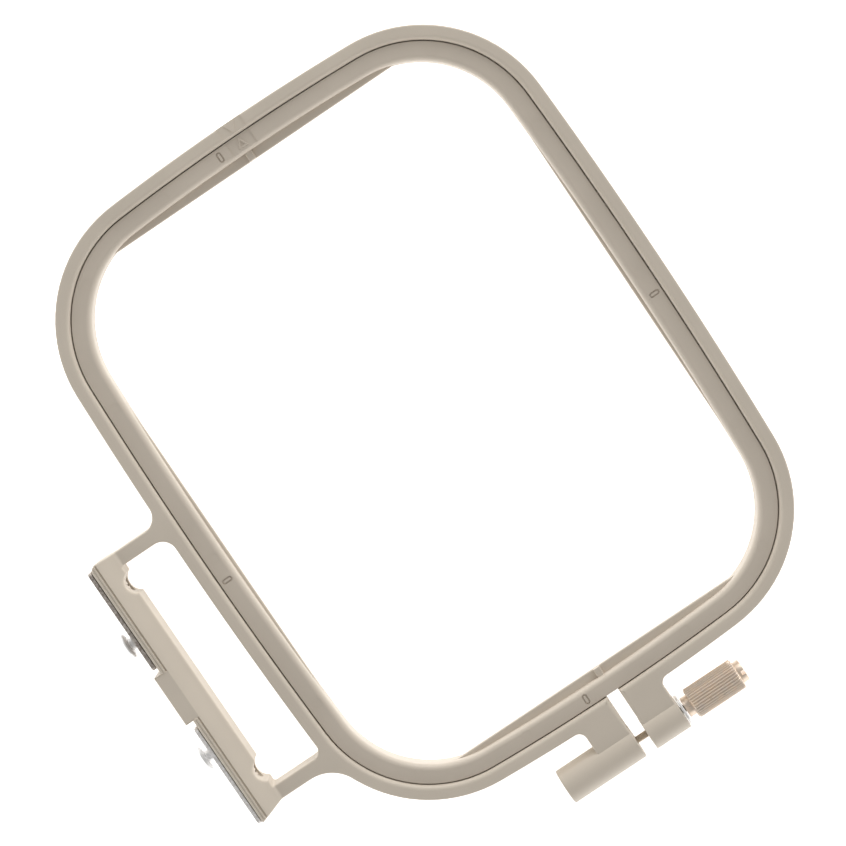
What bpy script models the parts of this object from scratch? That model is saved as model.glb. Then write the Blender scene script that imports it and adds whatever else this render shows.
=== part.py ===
"""Machine-embroidery hoop: a split outer frame with a clamp screw and a carriage bracket, and a lift-out
inner frame.

The design is drawn around the centre of the frames, in metres: X across, Y towards the side with the arrows,
Z up from the surface that the hoop lies on. The bracket is on the -X side and the clamp on the -Y side.
The root empty then moves it all so that the origin is at the middle of the bounding box's underside.
"""
import math

import bmesh
import bpy
from mathutils import Matrix, Vector
from mathutils.geometry import tessellate_polygon

MM = 0.001

# The gap between the two frames: a rounded rectangle whose sides bow out
GAP_HALF_X = 95.2 * MM
GAP_HALF_Y = 120.15 * MM
SIDE_BOW = 3.96 * MM
END_BOW = 5.1 * MM
CORNER_RADIUS = 45.9 * MM
FIT_GAP = 0.2 * MM              # each frame stays this far from the middle of the gap
REST_GAP = 0.3 * MM             # between pieces that rest on each other
WALL_MARGIN = 1.0 * MM          # how far a cutter reaches past the face that it starts from
WALL_STEPS = 6
CORNER_STEPS = 8

# Outer frame
OUTER_WALL = 5.5 * MM
OUTER_TOP = 12.0 * MM
INNER_EDGE_ROUND = 1.8 * MM
OUTER_EDGE_ROUND = 0.7 * MM
ROUND_STEPS = 3

# Inner frame
INNER_WALL = 7.5 * MM
SIDE_THICKER = 0.2 * MM         # than INNER_WALL, along the long sides
END_THINNER = 0.6 * MM          # than INNER_WALL, along the short ends
INNER_TOP = 10.3 * MM
INNER_FILLET = 2.3 * MM
GAP_EDGE_CHAMFER = 0.3 * MM
LIP_HALF_X = 86.3 * MM
LIP_HALF_Y = 109.8 * MM
LIP_Z = (3.5 * MM, 6.0 * MM)
RIB_WIDTH = 2.7 * MM
RIB_TOP = 7.6 * MM

# Bracket on the -X side
SLOT_X = -120.2 * MM            # inner edge of the bar
BAR_OUTER_X = -129.7 * MM
RAMP_END_X = -127.0 * MM
STRIP_X = -127.5 * MM
RAMP_TOP = 16.6 * MM
STRIP_TOP = 17.0 * MM
REAR_ARM = (16.1 * MM, 21.8 * MM)
FRONT_ARM = (-85.6 * MM, -80.1 * MM)
BAR_REAR_Y = 22.4 * MM
BAR_FRONT_Y = -88.3 * MM
BAR_REAR_CORNER = 2.75 * MM
ARM_FILLET_REAR = 6.0 * MM
ARM_FILLET_FRONT = 14.0 * MM
SLOT_FILLET_REAR = 5.5 * MM
SLOT_FILLET_FRONT = 3.2 * MM
SLOT_CORNER = 0.8 * MM
BLOCK_X = -132.8 * MM
BLOCK_Y = (-43.8 * MM, -23.4 * MM)
NOTCH_HALF = 4.4 * MM
NOTCH_DEPTH = 2.7 * MM
NOTCH_Y = {"rear": 9.0 * MM, "front": -72.8 * MM}

# Steel plates, their studs and their screws
PLATE_X = (-131.4 * MM, -130.0 * MM)
PLATE_Z = (1.6 * MM, 16.4 * MM)
PLATE_Y = {"rear": (-21.0 * MM, 20.6 * MM), "front": (-88.1 * MM, -46.6 * MM)}
PLATE_CORNER = 1.5 * MM
PLATE_BORE = 4.2 * MM
STUD_Z = 8.5 * MM
PLATE_SCREW_Z = 5.5 * MM
STUD_Y = {"rear": -9.2 * MM, "front": -58.2 * MM}
STUD_HEAD_D = 9.9 * MM
STUD_HEAD_X = (-136.3 * MM, -134.1 * MM)
STUD_SHANK_D = 4.6 * MM
STUD_TAIL_D = 3.4 * MM
STUD_TAIL_X = -124.0 * MM
STUD_RIM = 0.6 * MM             # the head is dished and bevelled by this much
STUD_FLAT = 0.4                 # of the head's radius, the flat at its middle
STUD_DISH = 0.8                 # of the head's radius, where the dome meets the bevel
SCREW_HEAD_D = 5.2 * MM
SCREW_HEAD_X = (-125.0 * MM, -123.2 * MM)
SCREW_SHANK_D = 3.0 * MM
SCREW_TIP_X = -131.0 * MM
SCREW_EDGE = 0.4 * MM
SCREW_SLOT = (0.8 * MM, 0.7 * MM)
COUNTERBORE_D = 6.0 * MM
COUNTERBORE_X = -125.3 * MM
CLEARANCE_D = 3.7 * MM

# Clamp on the -Y side; its screw lies along X
LUG_X = 16.8 * MM
SPLIT_X = (-2.6 * MM, 2.5 * MM)
LUG_FILLET = 3.0 * MM
BARREL_R = 6.8 * MM
BARREL_X = -33.2 * MM
BOSS_STEP = 0.2 * MM            # the barrel's ends stand this proud of the lugs' faces
SCREW_Y = -140.1 * MM
SCREW_Z = BARREL_R
LUG_END_Y = SCREW_Y + 0.7 * MM  # the flat lug ends inside its barrel
ROD_D = 3.0 * MM
ROD_X = (-32.5 * MM, 39.6 * MM)
ROD_TIP = 0.5 * MM
NUT_FLATS = 5.5 * MM
NUT_THICK = 2.4 * MM
NUT_X = -27.0 * MM
WASHER_D = 12.2 * MM
WASHER_X = (LUG_X + BOSS_STEP + REST_GAP, 18.3 * MM)
COLLAR_D = 8.0 * MM
KNURL_D = 12.0 * MM
KNURL_X = (21.2 * MM, 41.5 * MM)
KNURL_DEPTH = 0.45 * MM
KNURL_CHAMFER = 0.5 * MM
KNURL_TEETH = 36
KNOB_END_D = 8.6 * MM
KNOB_END_X = 44.0 * MM
KNOB_SLOT = (1.6 * MM, 1.6 * MM)

ROUND_SIDES = 32
BORE_SIDES = 24


def clear_scene():
    for obj in list(bpy.data.objects):
        bpy.data.objects.remove(obj, do_unlink=True)


def make_material(name, colour, roughness, metallic):
    material = bpy.data.materials.new(name)
    material.use_nodes = True
    shader = material.node_tree.nodes["Principled BSDF"]
    shader.inputs["Base Color"].default_value = (*colour, 1.0)
    shader.inputs["Roughness"].default_value = roughness
    shader.inputs["Metallic"].default_value = metallic
    return material


def make_object(name, mesh_data, material=None, location=(0.0, 0.0, 0.0)):
    """Wrap a bmesh in an object; a helper has no material and is left out of the model."""
    bmesh.ops.remove_doubles(mesh_data, verts=mesh_data.verts, dist=1e-6)
    bmesh.ops.recalc_face_normals(mesh_data, faces=mesh_data.faces)
    mesh = bpy.data.meshes.new(name)
    mesh_data.to_mesh(mesh)
    mesh_data.free()
    mesh.shade_smooth()
    mesh.set_sharp_from_angle(angle=math.radians(30.0))
    obj = bpy.data.objects.new(name, mesh)
    obj.location = location
    bpy.context.scene.collection.objects.link(obj)
    if material:
        mesh.materials.append(material)
    else:
        obj.hide_render = True
        obj.display_type = "WIRE"
    return obj


def add_boolean(target, helper, operation):
    modifier = target.modifiers.new(helper.name, "BOOLEAN")
    modifier.operation = operation
    modifier.solver = "EXACT"
    modifier.object = helper


# ---------------------------------------------------------------- outlines of the two frames

def side_circle():
    """Centre and radius of the arc that the gap follows on the +X side."""
    radius = GAP_HALF_Y ** 2 / (2.0 * SIDE_BOW)
    return Vector((GAP_HALF_X - radius, 0.0)), radius


def end_circle():
    """Centre and radius of the arc that the gap follows on the +Y side."""
    radius = GAP_HALF_X ** 2 / (2.0 * END_BOW)
    return Vector((0.0, GAP_HALF_Y - radius)), radius


def corner_circle():
    """Centre and radius of the corner arc, tangent to the side's arc and the end's."""
    side, side_r = side_circle()
    end, end_r = end_circle()
    reach_side = side_r - CORNER_RADIUS
    reach_end = end_r - CORNER_RADIUS
    span = end - side
    along = (reach_side ** 2 - reach_end ** 2 + span.length_squared) / (2.0 * span.length)
    across = math.sqrt(reach_side ** 2 - along ** 2)
    direction = span.normalized()
    left = Vector((-direction.y, direction.x))
    foot = side + direction * along
    candidates = (foot + left * across, foot - left * across)
    return max(candidates, key=lambda point: point.x + point.y), CORNER_RADIUS


def arc(centre, radius, start, end, steps):
    """Points from angle start to angle end, both included."""
    angles = [start + (end - start) * i / steps for i in range(steps + 1)]
    return [centre + Vector((math.cos(a), math.sin(a))) * radius for a in angles]


def quadrant(offset):
    """The gap line moved outwards by offset, from the middle of the +X side to the middle of the +Y end."""
    side, side_r = side_circle()
    end, end_r = end_circle()
    corner, corner_r = corner_circle()
    from_side = corner - side
    from_end = corner - end
    side_angle = math.atan2(from_side.y, from_side.x)
    end_angle = math.atan2(from_end.y, from_end.x)
    points = arc(side, side_r + offset, 0.0, side_angle, WALL_STEPS)
    points += arc(corner, corner_r + offset, side_angle, end_angle, CORNER_STEPS)[1:]
    points += arc(end, end_r + offset, end_angle, math.pi / 2.0, WALL_STEPS)[1:]
    return points


def frame_outline(offset):
    """The whole offset line, anticlockwise from the middle of the -Y end, with no point twice."""
    first = quadrant(offset)
    lower_right = [Vector((p.x, -p.y)) for p in reversed(first)]
    upper_left = [Vector((-p.x, p.y)) for p in reversed(first)]
    lower_left = [Vector((-p.x, -p.y)) for p in first]
    return lower_right + first[1:] + upper_left[1:] + lower_left[1:-1]


def end_y(offset, x):
    """Where the offset line crosses x on the -Y end."""
    centre, radius = end_circle()
    return -(centre.y + math.sqrt((radius + offset) ** 2 - x ** 2))


def wall_fillet(circle, arm_y, radius, side):
    """Rounds the corner between the outer frame's -X wall and an arm's edge at arm_y, from wall to arm.

    circle is the wall's arc on the +X side, and side is +1 where the arm's edge faces +Y."""
    centre, wall_r = circle
    mirrored = Vector((-centre.x, math.copysign(centre.y, arm_y)))
    y = arm_y + side * radius
    reach = wall_r + OUTER_WALL + radius
    x = mirrored.x - math.sqrt(reach ** 2 - (y - mirrored.y) ** 2)
    start = math.atan2(mirrored.y - y, mirrored.x - x)
    return arc(Vector((x, y)), radius, start, -side * math.pi / 2.0, CORNER_STEPS)


def rounded_corner(before, corner, after, radius, steps=4):
    """Arc that replaces the corner of two straight edges."""
    before, corner, after = Vector(before), Vector(corner), Vector(after)
    to_before = (before - corner).normalized()
    to_after = (after - corner).normalized()
    half_angle = to_before.angle(to_after) / 2.0
    centre = corner + (to_before + to_after).normalized() * radius / math.sin(half_angle)
    reach = radius / math.tan(half_angle)
    first = corner + to_before * reach - centre
    last = corner + to_after * reach - centre
    start = math.atan2(first.y, first.x)
    turn = first.angle_signed(last)
    return arc(centre, radius, start, start - turn, steps)


# ---------------------------------------------------------------- solids

def inset_directions(loop):
    """For each point, the way into the material that keeps both neighbouring edges parallel to themselves."""
    directions = []
    for i, point in enumerate(loop):
        back = (point - loop[i - 1]).normalized()
        ahead = (loop[(i + 1) % len(loop)] - point).normalized()
        left_back = Vector((-back.y, back.x))
        left_ahead = Vector((-ahead.y, ahead.x))
        directions.append((left_back + left_ahead) / (1.0 + left_back.dot(left_ahead)))
    return directions


def cap(mesh_data, loops):
    """Fill flat between the outer loop of vertices and its holes."""
    outlines = [[Vector((v.co.x, v.co.y, 0.0)) for v in loop] for loop in loops]
    verts = [v for loop in loops for v in loop]
    for triangle in tessellate_polygon(outlines):
        mesh_data.faces.new([verts[i] for i in triangle])


def add_wall(mesh_data, rows):
    """Quads between successive rows of vertices, each row a closed loop."""
    for lower, upper in zip(rows, rows[1:]):
        for i in range(len(lower)):
            j = (i + 1) % len(lower)
            mesh_data.faces.new((lower[i], lower[j], upper[j], upper[i]))


def flat_solid(loops, z_range, edge_rounds=None):
    """Prism on closed outlines, material on the left of each; edge_rounds gives a top radius for each point."""
    mesh_data = bmesh.new()
    low, high = z_range
    bottoms = []
    tops = []
    for index, loop in enumerate(loops):
        rows = [[mesh_data.verts.new((p.x, p.y, low)) for p in loop]]
        if edge_rounds:
            inward = inset_directions(loop)
            for step in range(ROUND_STEPS + 1):
                angle = math.pi / 2.0 * step / ROUND_STEPS
                row = []
                for point, way, radius in zip(loop, inward, edge_rounds[index]):
                    moved = point + way * radius * (1.0 - math.cos(angle))
                    height = high - radius * (1.0 - math.sin(angle))
                    row.append(mesh_data.verts.new((moved.x, moved.y, height)))
                rows.append(row)
        else:
            rows.append([mesh_data.verts.new((p.x, p.y, high)) for p in loop])
        add_wall(mesh_data, rows)
        bottoms.append(rows[0])
        tops.append(rows[-1])
    cap(mesh_data, bottoms)
    cap(mesh_data, tops)
    return mesh_data


def turned_solid(profile, sides, tooth_depth=None):
    """Body turned about the X axis from (x, radius) points that start and end on the axis.

    tooth_depth gives for each profile point how deep the grooves of a straight knurl are there."""
    mesh_data = bmesh.new()
    rows = []
    for index, (x, radius) in enumerate(profile):
        if radius == 0.0:
            rows.append([mesh_data.verts.new((x, 0.0, 0.0))])
            continue
        row = []
        for i in range(sides):
            angle = 2.0 * math.pi * (i + 0.5) / sides
            reach = radius - (tooth_depth[index] if tooth_depth and i % 2 else 0.0)
            row.append(mesh_data.verts.new((x, reach * math.cos(angle), reach * math.sin(angle))))
        rows.append(row)
    for lower, upper in zip(rows, rows[1:]):
        for i in range(sides):
            j = (i + 1) % sides
            corners = [lower[i % len(lower)], lower[j % len(lower)]]
            corners += [upper[j % len(upper)], upper[i % len(upper)]]
            mesh_data.faces.new(list(dict.fromkeys(corners)))
    return mesh_data


def tube_solid(profile, sides):
    """Ring turned about the X axis from a closed (x, radius) profile."""
    mesh_data = bmesh.new()
    rows = []
    for i in range(sides):
        angle = 2.0 * math.pi * i / sides
        rows.append([mesh_data.verts.new((x, r * math.cos(angle), r * math.sin(angle))) for x, r in profile])
    add_wall(mesh_data, rows + rows[:1])
    return mesh_data


def box_solid(x_range, y_range, z_range):
    corners = [Vector(c) for c in ((x_range[0], y_range[0]), (x_range[1], y_range[0]),
                                   (x_range[1], y_range[1]), (x_range[0], y_range[1]))]
    return flat_solid([corners], z_range)


def cylinder_helper(name, x_range, diameter, y, z, sides=BORE_SIDES):
    radius = diameter / 2.0
    profile = [(x_range[0], 0.0), (x_range[0], radius), (x_range[1], radius), (x_range[1], 0.0)]
    return make_object(name, turned_solid(profile, sides), location=(0.0, y, z))


def hole_outline(y, z, diameter):
    """Circle taken clockwise, so that the material is outside it."""
    return arc(Vector((y, z)), diameter / 2.0, 2.0 * math.pi, 0.0, BORE_SIDES)[:-1]


# ---------------------------------------------------------------- outer frame

def notch_arc(y):
    """Round bite out of the bar's inner edge, in +Y order."""
    radius = (NOTCH_HALF ** 2 + NOTCH_DEPTH ** 2) / (2.0 * NOTCH_DEPTH)
    half_angle = math.asin(NOTCH_HALF / radius)
    centre = Vector((SLOT_X - NOTCH_DEPTH + radius, y))
    return arc(centre, radius, math.pi + half_angle, math.pi - half_angle, CORNER_STEPS)


def slot_outline():
    """Opening between the frame and the bracket's bar, clockwise."""
    rear = wall_fillet(side_circle(), REAR_ARM[0], SLOT_FILLET_REAR, -1)[::-1]
    front = wall_fillet(corner_circle(), FRONT_ARM[1], SLOT_FILLET_FRONT, 1)
    wall = [p for p in frame_outline(OUTER_WALL) if p.x < 0.0 and front[0].y < p.y < rear[-1].y]
    corner_front = Vector((SLOT_X, FRONT_ARM[1]))
    corner_rear = Vector((SLOT_X, REAR_ARM[0]))
    first_notch = notch_arc(NOTCH_Y["front"])
    second_notch = notch_arc(NOTCH_Y["rear"])
    bar = rounded_corner(front[-1], corner_front, first_notch[0], SLOT_CORNER)
    bar += first_notch + second_notch
    bar += rounded_corner(second_notch[-1], corner_rear, rear[0], SLOT_CORNER)
    return rear + wall + front + bar


def outer_outline():
    """Outer frame with its arms, bar and lugs as one anticlockwise loop, with the top radius of each point."""
    wall = frame_outline(OUTER_WALL)
    rear = wall_fillet(side_circle(), REAR_ARM[1], ARM_FILLET_REAR, 1)
    front = wall_fillet(corner_circle(), FRONT_ARM[0], ARM_FILLET_FRONT, -1)[::-1]
    lug_top = Vector((LUG_X, end_y(OUTER_WALL, LUG_X)))
    lug_end = Vector((LUG_X, LUG_END_Y))
    right_lug = [Vector((SPLIT_X[1], LUG_END_Y)), lug_end]
    around = [p for p in wall if p.x > LUG_X + LUG_FILLET or p.y > rear[0].y]
    right_fillet = rounded_corner(lug_end, lug_top, around[0], LUG_FILLET)
    bar_rear = Vector((BAR_OUTER_X, BAR_REAR_Y))
    bar_front = Vector((BAR_OUTER_X, BAR_FRONT_Y))
    bar = [Vector((SLOT_X, REAR_ARM[1]))]
    bar += rounded_corner(bar[0], bar_rear, bar_front, BAR_REAR_CORNER)
    bar += [Vector((BAR_OUTER_X, BLOCK_Y[1])), Vector((BLOCK_X, BLOCK_Y[1]))]
    bar += [Vector((BLOCK_X, BLOCK_Y[0])), Vector((BAR_OUTER_X, BLOCK_Y[0]))]
    bar += [bar_front, Vector((SLOT_X, FRONT_ARM[0]))]
    to_lug = [p for p in wall if p.x < -LUG_X - LUG_FILLET and p.y < front[-1].y]
    mirror_top = Vector((-LUG_X, lug_top.y))
    mirror_end = Vector((-LUG_X, LUG_END_Y))
    left_fillet = rounded_corner(to_lug[-1], mirror_top, mirror_end, LUG_FILLET)
    left_lug = [mirror_end, Vector((SPLIT_X[0], LUG_END_Y))]
    outside = right_lug + right_fillet + around + rear + bar + front + to_lug + left_fillet + left_lug
    gap_wall = frame_outline(FIT_GAP)[::-1]
    inside = [p for p in gap_wall if p.y > 0.0 or not SPLIT_X[0] < p.x < SPLIT_X[1]]
    inside = [Vector((SPLIT_X[0], end_y(FIT_GAP, SPLIT_X[0])))] + inside
    inside.append(Vector((SPLIT_X[1], end_y(FIT_GAP, SPLIT_X[1]))))
    rounds = [OUTER_EDGE_ROUND] * len(outside) + [INNER_EDGE_ROUND] * len(inside)
    return outside + inside, rounds


def bracket_height(x):
    """Height of the top at x: level, then a ramp up to the strip along the bar's outer edge."""
    if x >= SLOT_X:
        return OUTER_TOP
    if x <= STRIP_X:
        return STRIP_TOP
    if x <= RAMP_END_X:
        return RAMP_TOP
    return OUTER_TOP + (RAMP_TOP - OUTER_TOP) * (SLOT_X - x) / (SLOT_X - RAMP_END_X)


def raise_bracket(mesh_data):
    """Cut the bar along its creases and lift its top to bracket_height."""
    for x in (SLOT_X, RAMP_END_X, STRIP_X):
        geometry = mesh_data.verts[:] + mesh_data.edges[:] + mesh_data.faces[:]
        bmesh.ops.bisect_plane(mesh_data, geom=geometry, plane_co=(x, 0.0, 0.0), plane_no=(1.0, 0.0, 0.0))
    for vert in mesh_data.verts:
        if vert.co.z > OUTER_TOP / 2.0:
            vert.co.z += bracket_height(vert.co.x) - OUTER_TOP


def stepped_hole(end):
    """Cutter for a plate screw: clearance through the bar, and a counterbore open to the notch."""
    low_x = BAR_OUTER_X - WALL_MARGIN
    high_x = SLOT_X + WALL_MARGIN
    profile = [(low_x, 0.0), (low_x, CLEARANCE_D / 2.0), (COUNTERBORE_X, CLEARANCE_D / 2.0),
               (COUNTERBORE_X, COUNTERBORE_D / 2.0), (high_x, COUNTERBORE_D / 2.0), (high_x, 0.0)]
    hole = turned_solid(profile, BORE_SIDES)
    return make_object(f"{end}_screw_hole", hole, location=(0.0, NOTCH_Y[end], PLATE_SCREW_Z))


def build_outer_frame(material):
    outline, rounds = outer_outline()
    slot = slot_outline()
    mesh_data = flat_solid([outline, slot], (0.0, OUTER_TOP), [rounds, [OUTER_EDGE_ROUND] * len(slot)])
    raise_bracket(mesh_data)
    bmesh.ops.triangulate(mesh_data, faces=mesh_data.faces)
    frame = make_object("outer_frame", mesh_data, material)
    left_x = (BARREL_X, SPLIT_X[0] + BOSS_STEP)
    right_x = (SPLIT_X[1] - BOSS_STEP, LUG_X + BOSS_STEP)
    left = cylinder_helper("left_barrel", left_x, 2.0 * BARREL_R, SCREW_Y, SCREW_Z, ROUND_SIDES)
    right = cylinder_helper("right_barrel", right_x, 2.0 * BARREL_R, SCREW_Y, SCREW_Z, ROUND_SIDES)
    add_boolean(frame, left, "UNION")
    add_boolean(frame, right, "UNION")
    bore = cylinder_helper("screw_bore", (NUT_X, LUG_X + WALL_MARGIN), CLEARANCE_D, SCREW_Y, SCREW_Z)
    pocket_d = (NUT_FLATS + 2.0 * REST_GAP) / math.cos(math.pi / 6.0)
    pocket_x = (BARREL_X - WALL_MARGIN, NUT_X + NUT_THICK + REST_GAP)
    pocket = cylinder_helper("nut_pocket", pocket_x, pocket_d, SCREW_Y, SCREW_Z, 6)
    add_boolean(frame, bore, "DIFFERENCE")
    add_boolean(frame, pocket, "DIFFERENCE")
    for end in ("rear", "front"):
        tail_x = (BAR_OUTER_X - WALL_MARGIN, STUD_TAIL_X + REST_GAP)
        tail_d = STUD_TAIL_D + 2.0 * REST_GAP
        stud_hole = cylinder_helper(f"{end}_stud_hole", tail_x, tail_d, STUD_Y[end], STUD_Z)
        add_boolean(frame, stud_hole, "DIFFERENCE")
        add_boolean(frame, stepped_hole(end), "DIFFERENCE")
    return frame


# ---------------------------------------------------------------- inner frame

def inner_section():
    """(offset from the gap line, height) of the inner frame's wall, from its outer foot to the lip's root."""
    fillet_centre = (-(INNER_WALL - INNER_FILLET), INNER_TOP - INNER_FILLET)
    section = [(-FIT_GAP, 0.0), (-FIT_GAP, INNER_TOP - GAP_EDGE_CHAMFER)]
    section.append((-FIT_GAP - GAP_EDGE_CHAMFER, INNER_TOP))
    for step in range(ROUND_STEPS + 1):
        angle = math.pi / 2.0 * (1.0 + step / ROUND_STEPS)
        section.append((fillet_centre[0] + INNER_FILLET * math.cos(angle),
                        fillet_centre[1] + INNER_FILLET * math.sin(angle)))
    section.append((-INNER_WALL, LIP_Z[1]))
    return section


def inner_outline(offset):
    """Outline inside the gap line, stretched so that the wall is thicker at the sides than at the ends."""
    share = -offset / INNER_WALL
    wide = 1.0 - share * SIDE_THICKER / (GAP_HALF_X - INNER_WALL)
    tall = 1.0 + share * END_THINNER / (GAP_HALF_Y - INNER_WALL)
    return [Vector((p.x * wide, p.y * tall)) for p in frame_outline(offset)]


def clamp_to_lip(point):
    """The lip runs straight along its edges and dies away in the corners."""
    x = max(-LIP_HALF_X, min(LIP_HALF_X, point.x))
    y = max(-LIP_HALF_Y, min(LIP_HALF_Y, point.y))
    return Vector((x, y))


def build_inner_frame(material):
    mesh_data = bmesh.new()
    rows = []
    for offset, z in inner_section():
        rows.append([mesh_data.verts.new((p.x, p.y, z)) for p in inner_outline(offset)])
    wall = inner_outline(-INNER_WALL)
    edge = [clamp_to_lip(p) for p in wall]
    for outline, z in ((edge, LIP_Z[1]), (edge, LIP_Z[0]), (wall, LIP_Z[0]), (wall, 0.0)):
        rows.append([mesh_data.verts.new((p.x, p.y, z)) for p in outline])
    add_wall(mesh_data, rows + rows[:1])
    bmesh.ops.remove_doubles(mesh_data, verts=mesh_data.verts, dist=1e-6)
    bmesh.ops.dissolve_degenerate(mesh_data, edges=mesh_data.edges, dist=1e-6)
    frame = make_object("inner_frame", mesh_data, material)
    for side, name in ((1.0, "rear_rib"), (-1.0, "front_rib")):
        y_range = sorted((side * LIP_HALF_Y, side * (GAP_HALF_Y - INNER_WALL / 2.0)))
        z_range = (sum(LIP_Z) / 2.0, RIB_TOP)
        rib = make_object(name, box_solid((-RIB_WIDTH / 2.0, RIB_WIDTH / 2.0), y_range, z_range))
        add_boolean(frame, rib, "UNION")
    return frame


# ---------------------------------------------------------------- bracket hardware

def build_plate(end, material):
    """Steel plate on the bar's outer face, drilled for stud and screw; modelled flat, then stood up."""
    low_y, high_y = PLATE_Y[end]
    low_z, high_z = PLATE_Z
    corners = [Vector(c) for c in ((low_y, low_z), (high_y, low_z), (high_y, high_z), (low_y, high_z))]
    outline = []
    for i, corner in enumerate(corners):
        outline += rounded_corner(corners[i - 1], corner, corners[(i + 1) % 4], PLATE_CORNER, 3)
    places = ((STUD_Y[end], STUD_Z), (NOTCH_Y[end], PLATE_SCREW_Z))
    holes = [hole_outline(y, z, PLATE_BORE) for y, z in places]
    mesh_data = flat_solid([outline] + holes, PLATE_X)
    upright = Matrix(((0.0, 0.0, 1.0), (1.0, 0.0, 0.0), (0.0, 1.0, 0.0)))
    bmesh.ops.rotate(mesh_data, verts=mesh_data.verts, matrix=upright)
    return make_object(f"{end}_mount_plate", mesh_data, material)


def build_stud(end, material):
    head_r = STUD_HEAD_D / 2.0
    shank_r = STUD_SHANK_D / 2.0
    tail_r = STUD_TAIL_D / 2.0
    face_x, under_x = STUD_HEAD_X
    seat_x = PLATE_X[0] - REST_GAP
    profile = [(face_x, 0.0), (face_x, STUD_FLAT * head_r), (face_x + STUD_RIM, STUD_DISH * head_r),
               (under_x - 2.0 * STUD_RIM, head_r), (under_x - STUD_RIM, head_r), (under_x, shank_r),
               (seat_x, shank_r), (seat_x, tail_r), (STUD_TAIL_X, tail_r), (STUD_TAIL_X, 0.0)]
    mesh_data = turned_solid(profile, ROUND_SIDES)
    return make_object(f"{end}_mount_stud", mesh_data, material, (0.0, STUD_Y[end], STUD_Z))


def build_plate_screw(end, material):
    head_r = SCREW_HEAD_D / 2.0
    shank_r = SCREW_SHANK_D / 2.0
    under_x, top_x = SCREW_HEAD_X
    edge = SCREW_EDGE
    profile = [(SCREW_TIP_X, 0.0), (SCREW_TIP_X, shank_r - edge), (SCREW_TIP_X + edge, shank_r), (under_x, shank_r),
               (under_x, head_r), (top_x - edge, head_r), (top_x, head_r - edge), (top_x, 0.0)]
    screw = make_object(f"{end}_plate_screw", turned_solid(profile, BORE_SIDES), material,
                        (0.0, NOTCH_Y[end], PLATE_SCREW_Z))
    width, depth = SCREW_SLOT
    cutter = box_solid((top_x - depth, top_x + depth), (NOTCH_Y[end] - width / 2.0, NOTCH_Y[end] + width / 2.0),
                       (PLATE_SCREW_Z - head_r, PLATE_SCREW_Z + head_r))
    add_boolean(screw, make_object(f"{end}_driver_slot", cutter), "DIFFERENCE")
    return screw


# ---------------------------------------------------------------- clamp screw

def build_knob(material):
    """Collar, straight-knurled grip and slotted end, bored for the rod."""
    start = WASHER_X[1] + REST_GAP
    bore_r = ROD_D / 2.0 + REST_GAP
    bore_end = ROD_X[1] + REST_GAP
    collar_r = COLLAR_D / 2.0
    knurl_r = KNURL_D / 2.0
    end_r = KNOB_END_D / 2.0
    chamfer = KNURL_CHAMFER
    profile = [(bore_end, 0.0), (bore_end, bore_r), (start, bore_r), (start, collar_r), (KNURL_X[0], collar_r),
               (KNURL_X[0], knurl_r - chamfer), (KNURL_X[0] + chamfer, knurl_r), (KNURL_X[1] - chamfer, knurl_r),
               (KNURL_X[1], knurl_r - chamfer), (KNURL_X[1], end_r), (KNOB_END_X - chamfer, end_r),
               (KNOB_END_X, end_r - chamfer), (KNOB_END_X, 0.0)]
    grooved = (KNURL_X[0] + chamfer, KNURL_X[1] - chamfer)
    depths = [KNURL_DEPTH if x in grooved else 0.0 for x, _ in profile]
    knob = make_object("clamp_knob", turned_solid(profile, 2 * KNURL_TEETH, depths), material,
                       (0.0, SCREW_Y, SCREW_Z))
    width, depth = KNOB_SLOT
    cutter = box_solid((KNOB_END_X - depth, KNOB_END_X + depth), (SCREW_Y - width / 2.0, SCREW_Y + width / 2.0),
                       (SCREW_Z - KNURL_D, SCREW_Z + KNURL_D))
    add_boolean(knob, make_object("coin_slot", cutter), "DIFFERENCE")
    return knob


def build_shaft(material):
    radius = ROD_D / 2.0
    tip = ROD_TIP
    start, end = ROD_X
    profile = [(start, 0.0), (start, radius - tip), (start + tip, radius), (end, radius), (end, 0.0)]
    return make_object("clamp_shaft", turned_solid(profile, BORE_SIDES), material, (0.0, SCREW_Y, SCREW_Z))


def build_washer(material):
    bore_r = ROD_D / 2.0 + REST_GAP
    outer_r = WASHER_D / 2.0
    profile = [(WASHER_X[0], bore_r), (WASHER_X[0], outer_r), (WASHER_X[1], outer_r), (WASHER_X[1], bore_r)]
    return make_object("clamp_washer", tube_solid(profile, ROUND_SIDES), material, (0.0, SCREW_Y, SCREW_Z))


def build_nut(material):
    bore_r = ROD_D / 2.0 + REST_GAP
    mesh_data = bmesh.new()
    rows = []
    for i in range(BORE_SIDES):
        angle = 2.0 * math.pi * i / BORE_SIDES
        from_flat = (angle + math.pi / 6.0) % (math.pi / 3.0) - math.pi / 6.0
        outer_r = NUT_FLATS / 2.0 / math.cos(from_flat)
        section = ((NUT_X, bore_r), (NUT_X, outer_r), (NUT_X + NUT_THICK, outer_r), (NUT_X + NUT_THICK, bore_r))
        rows.append([mesh_data.verts.new((x, r * math.cos(angle), r * math.sin(angle))) for x, r in section])
    add_wall(mesh_data, rows + rows[:1])
    return make_object("clamp_nut", mesh_data, material, (0.0, SCREW_Y, SCREW_Z))


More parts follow.
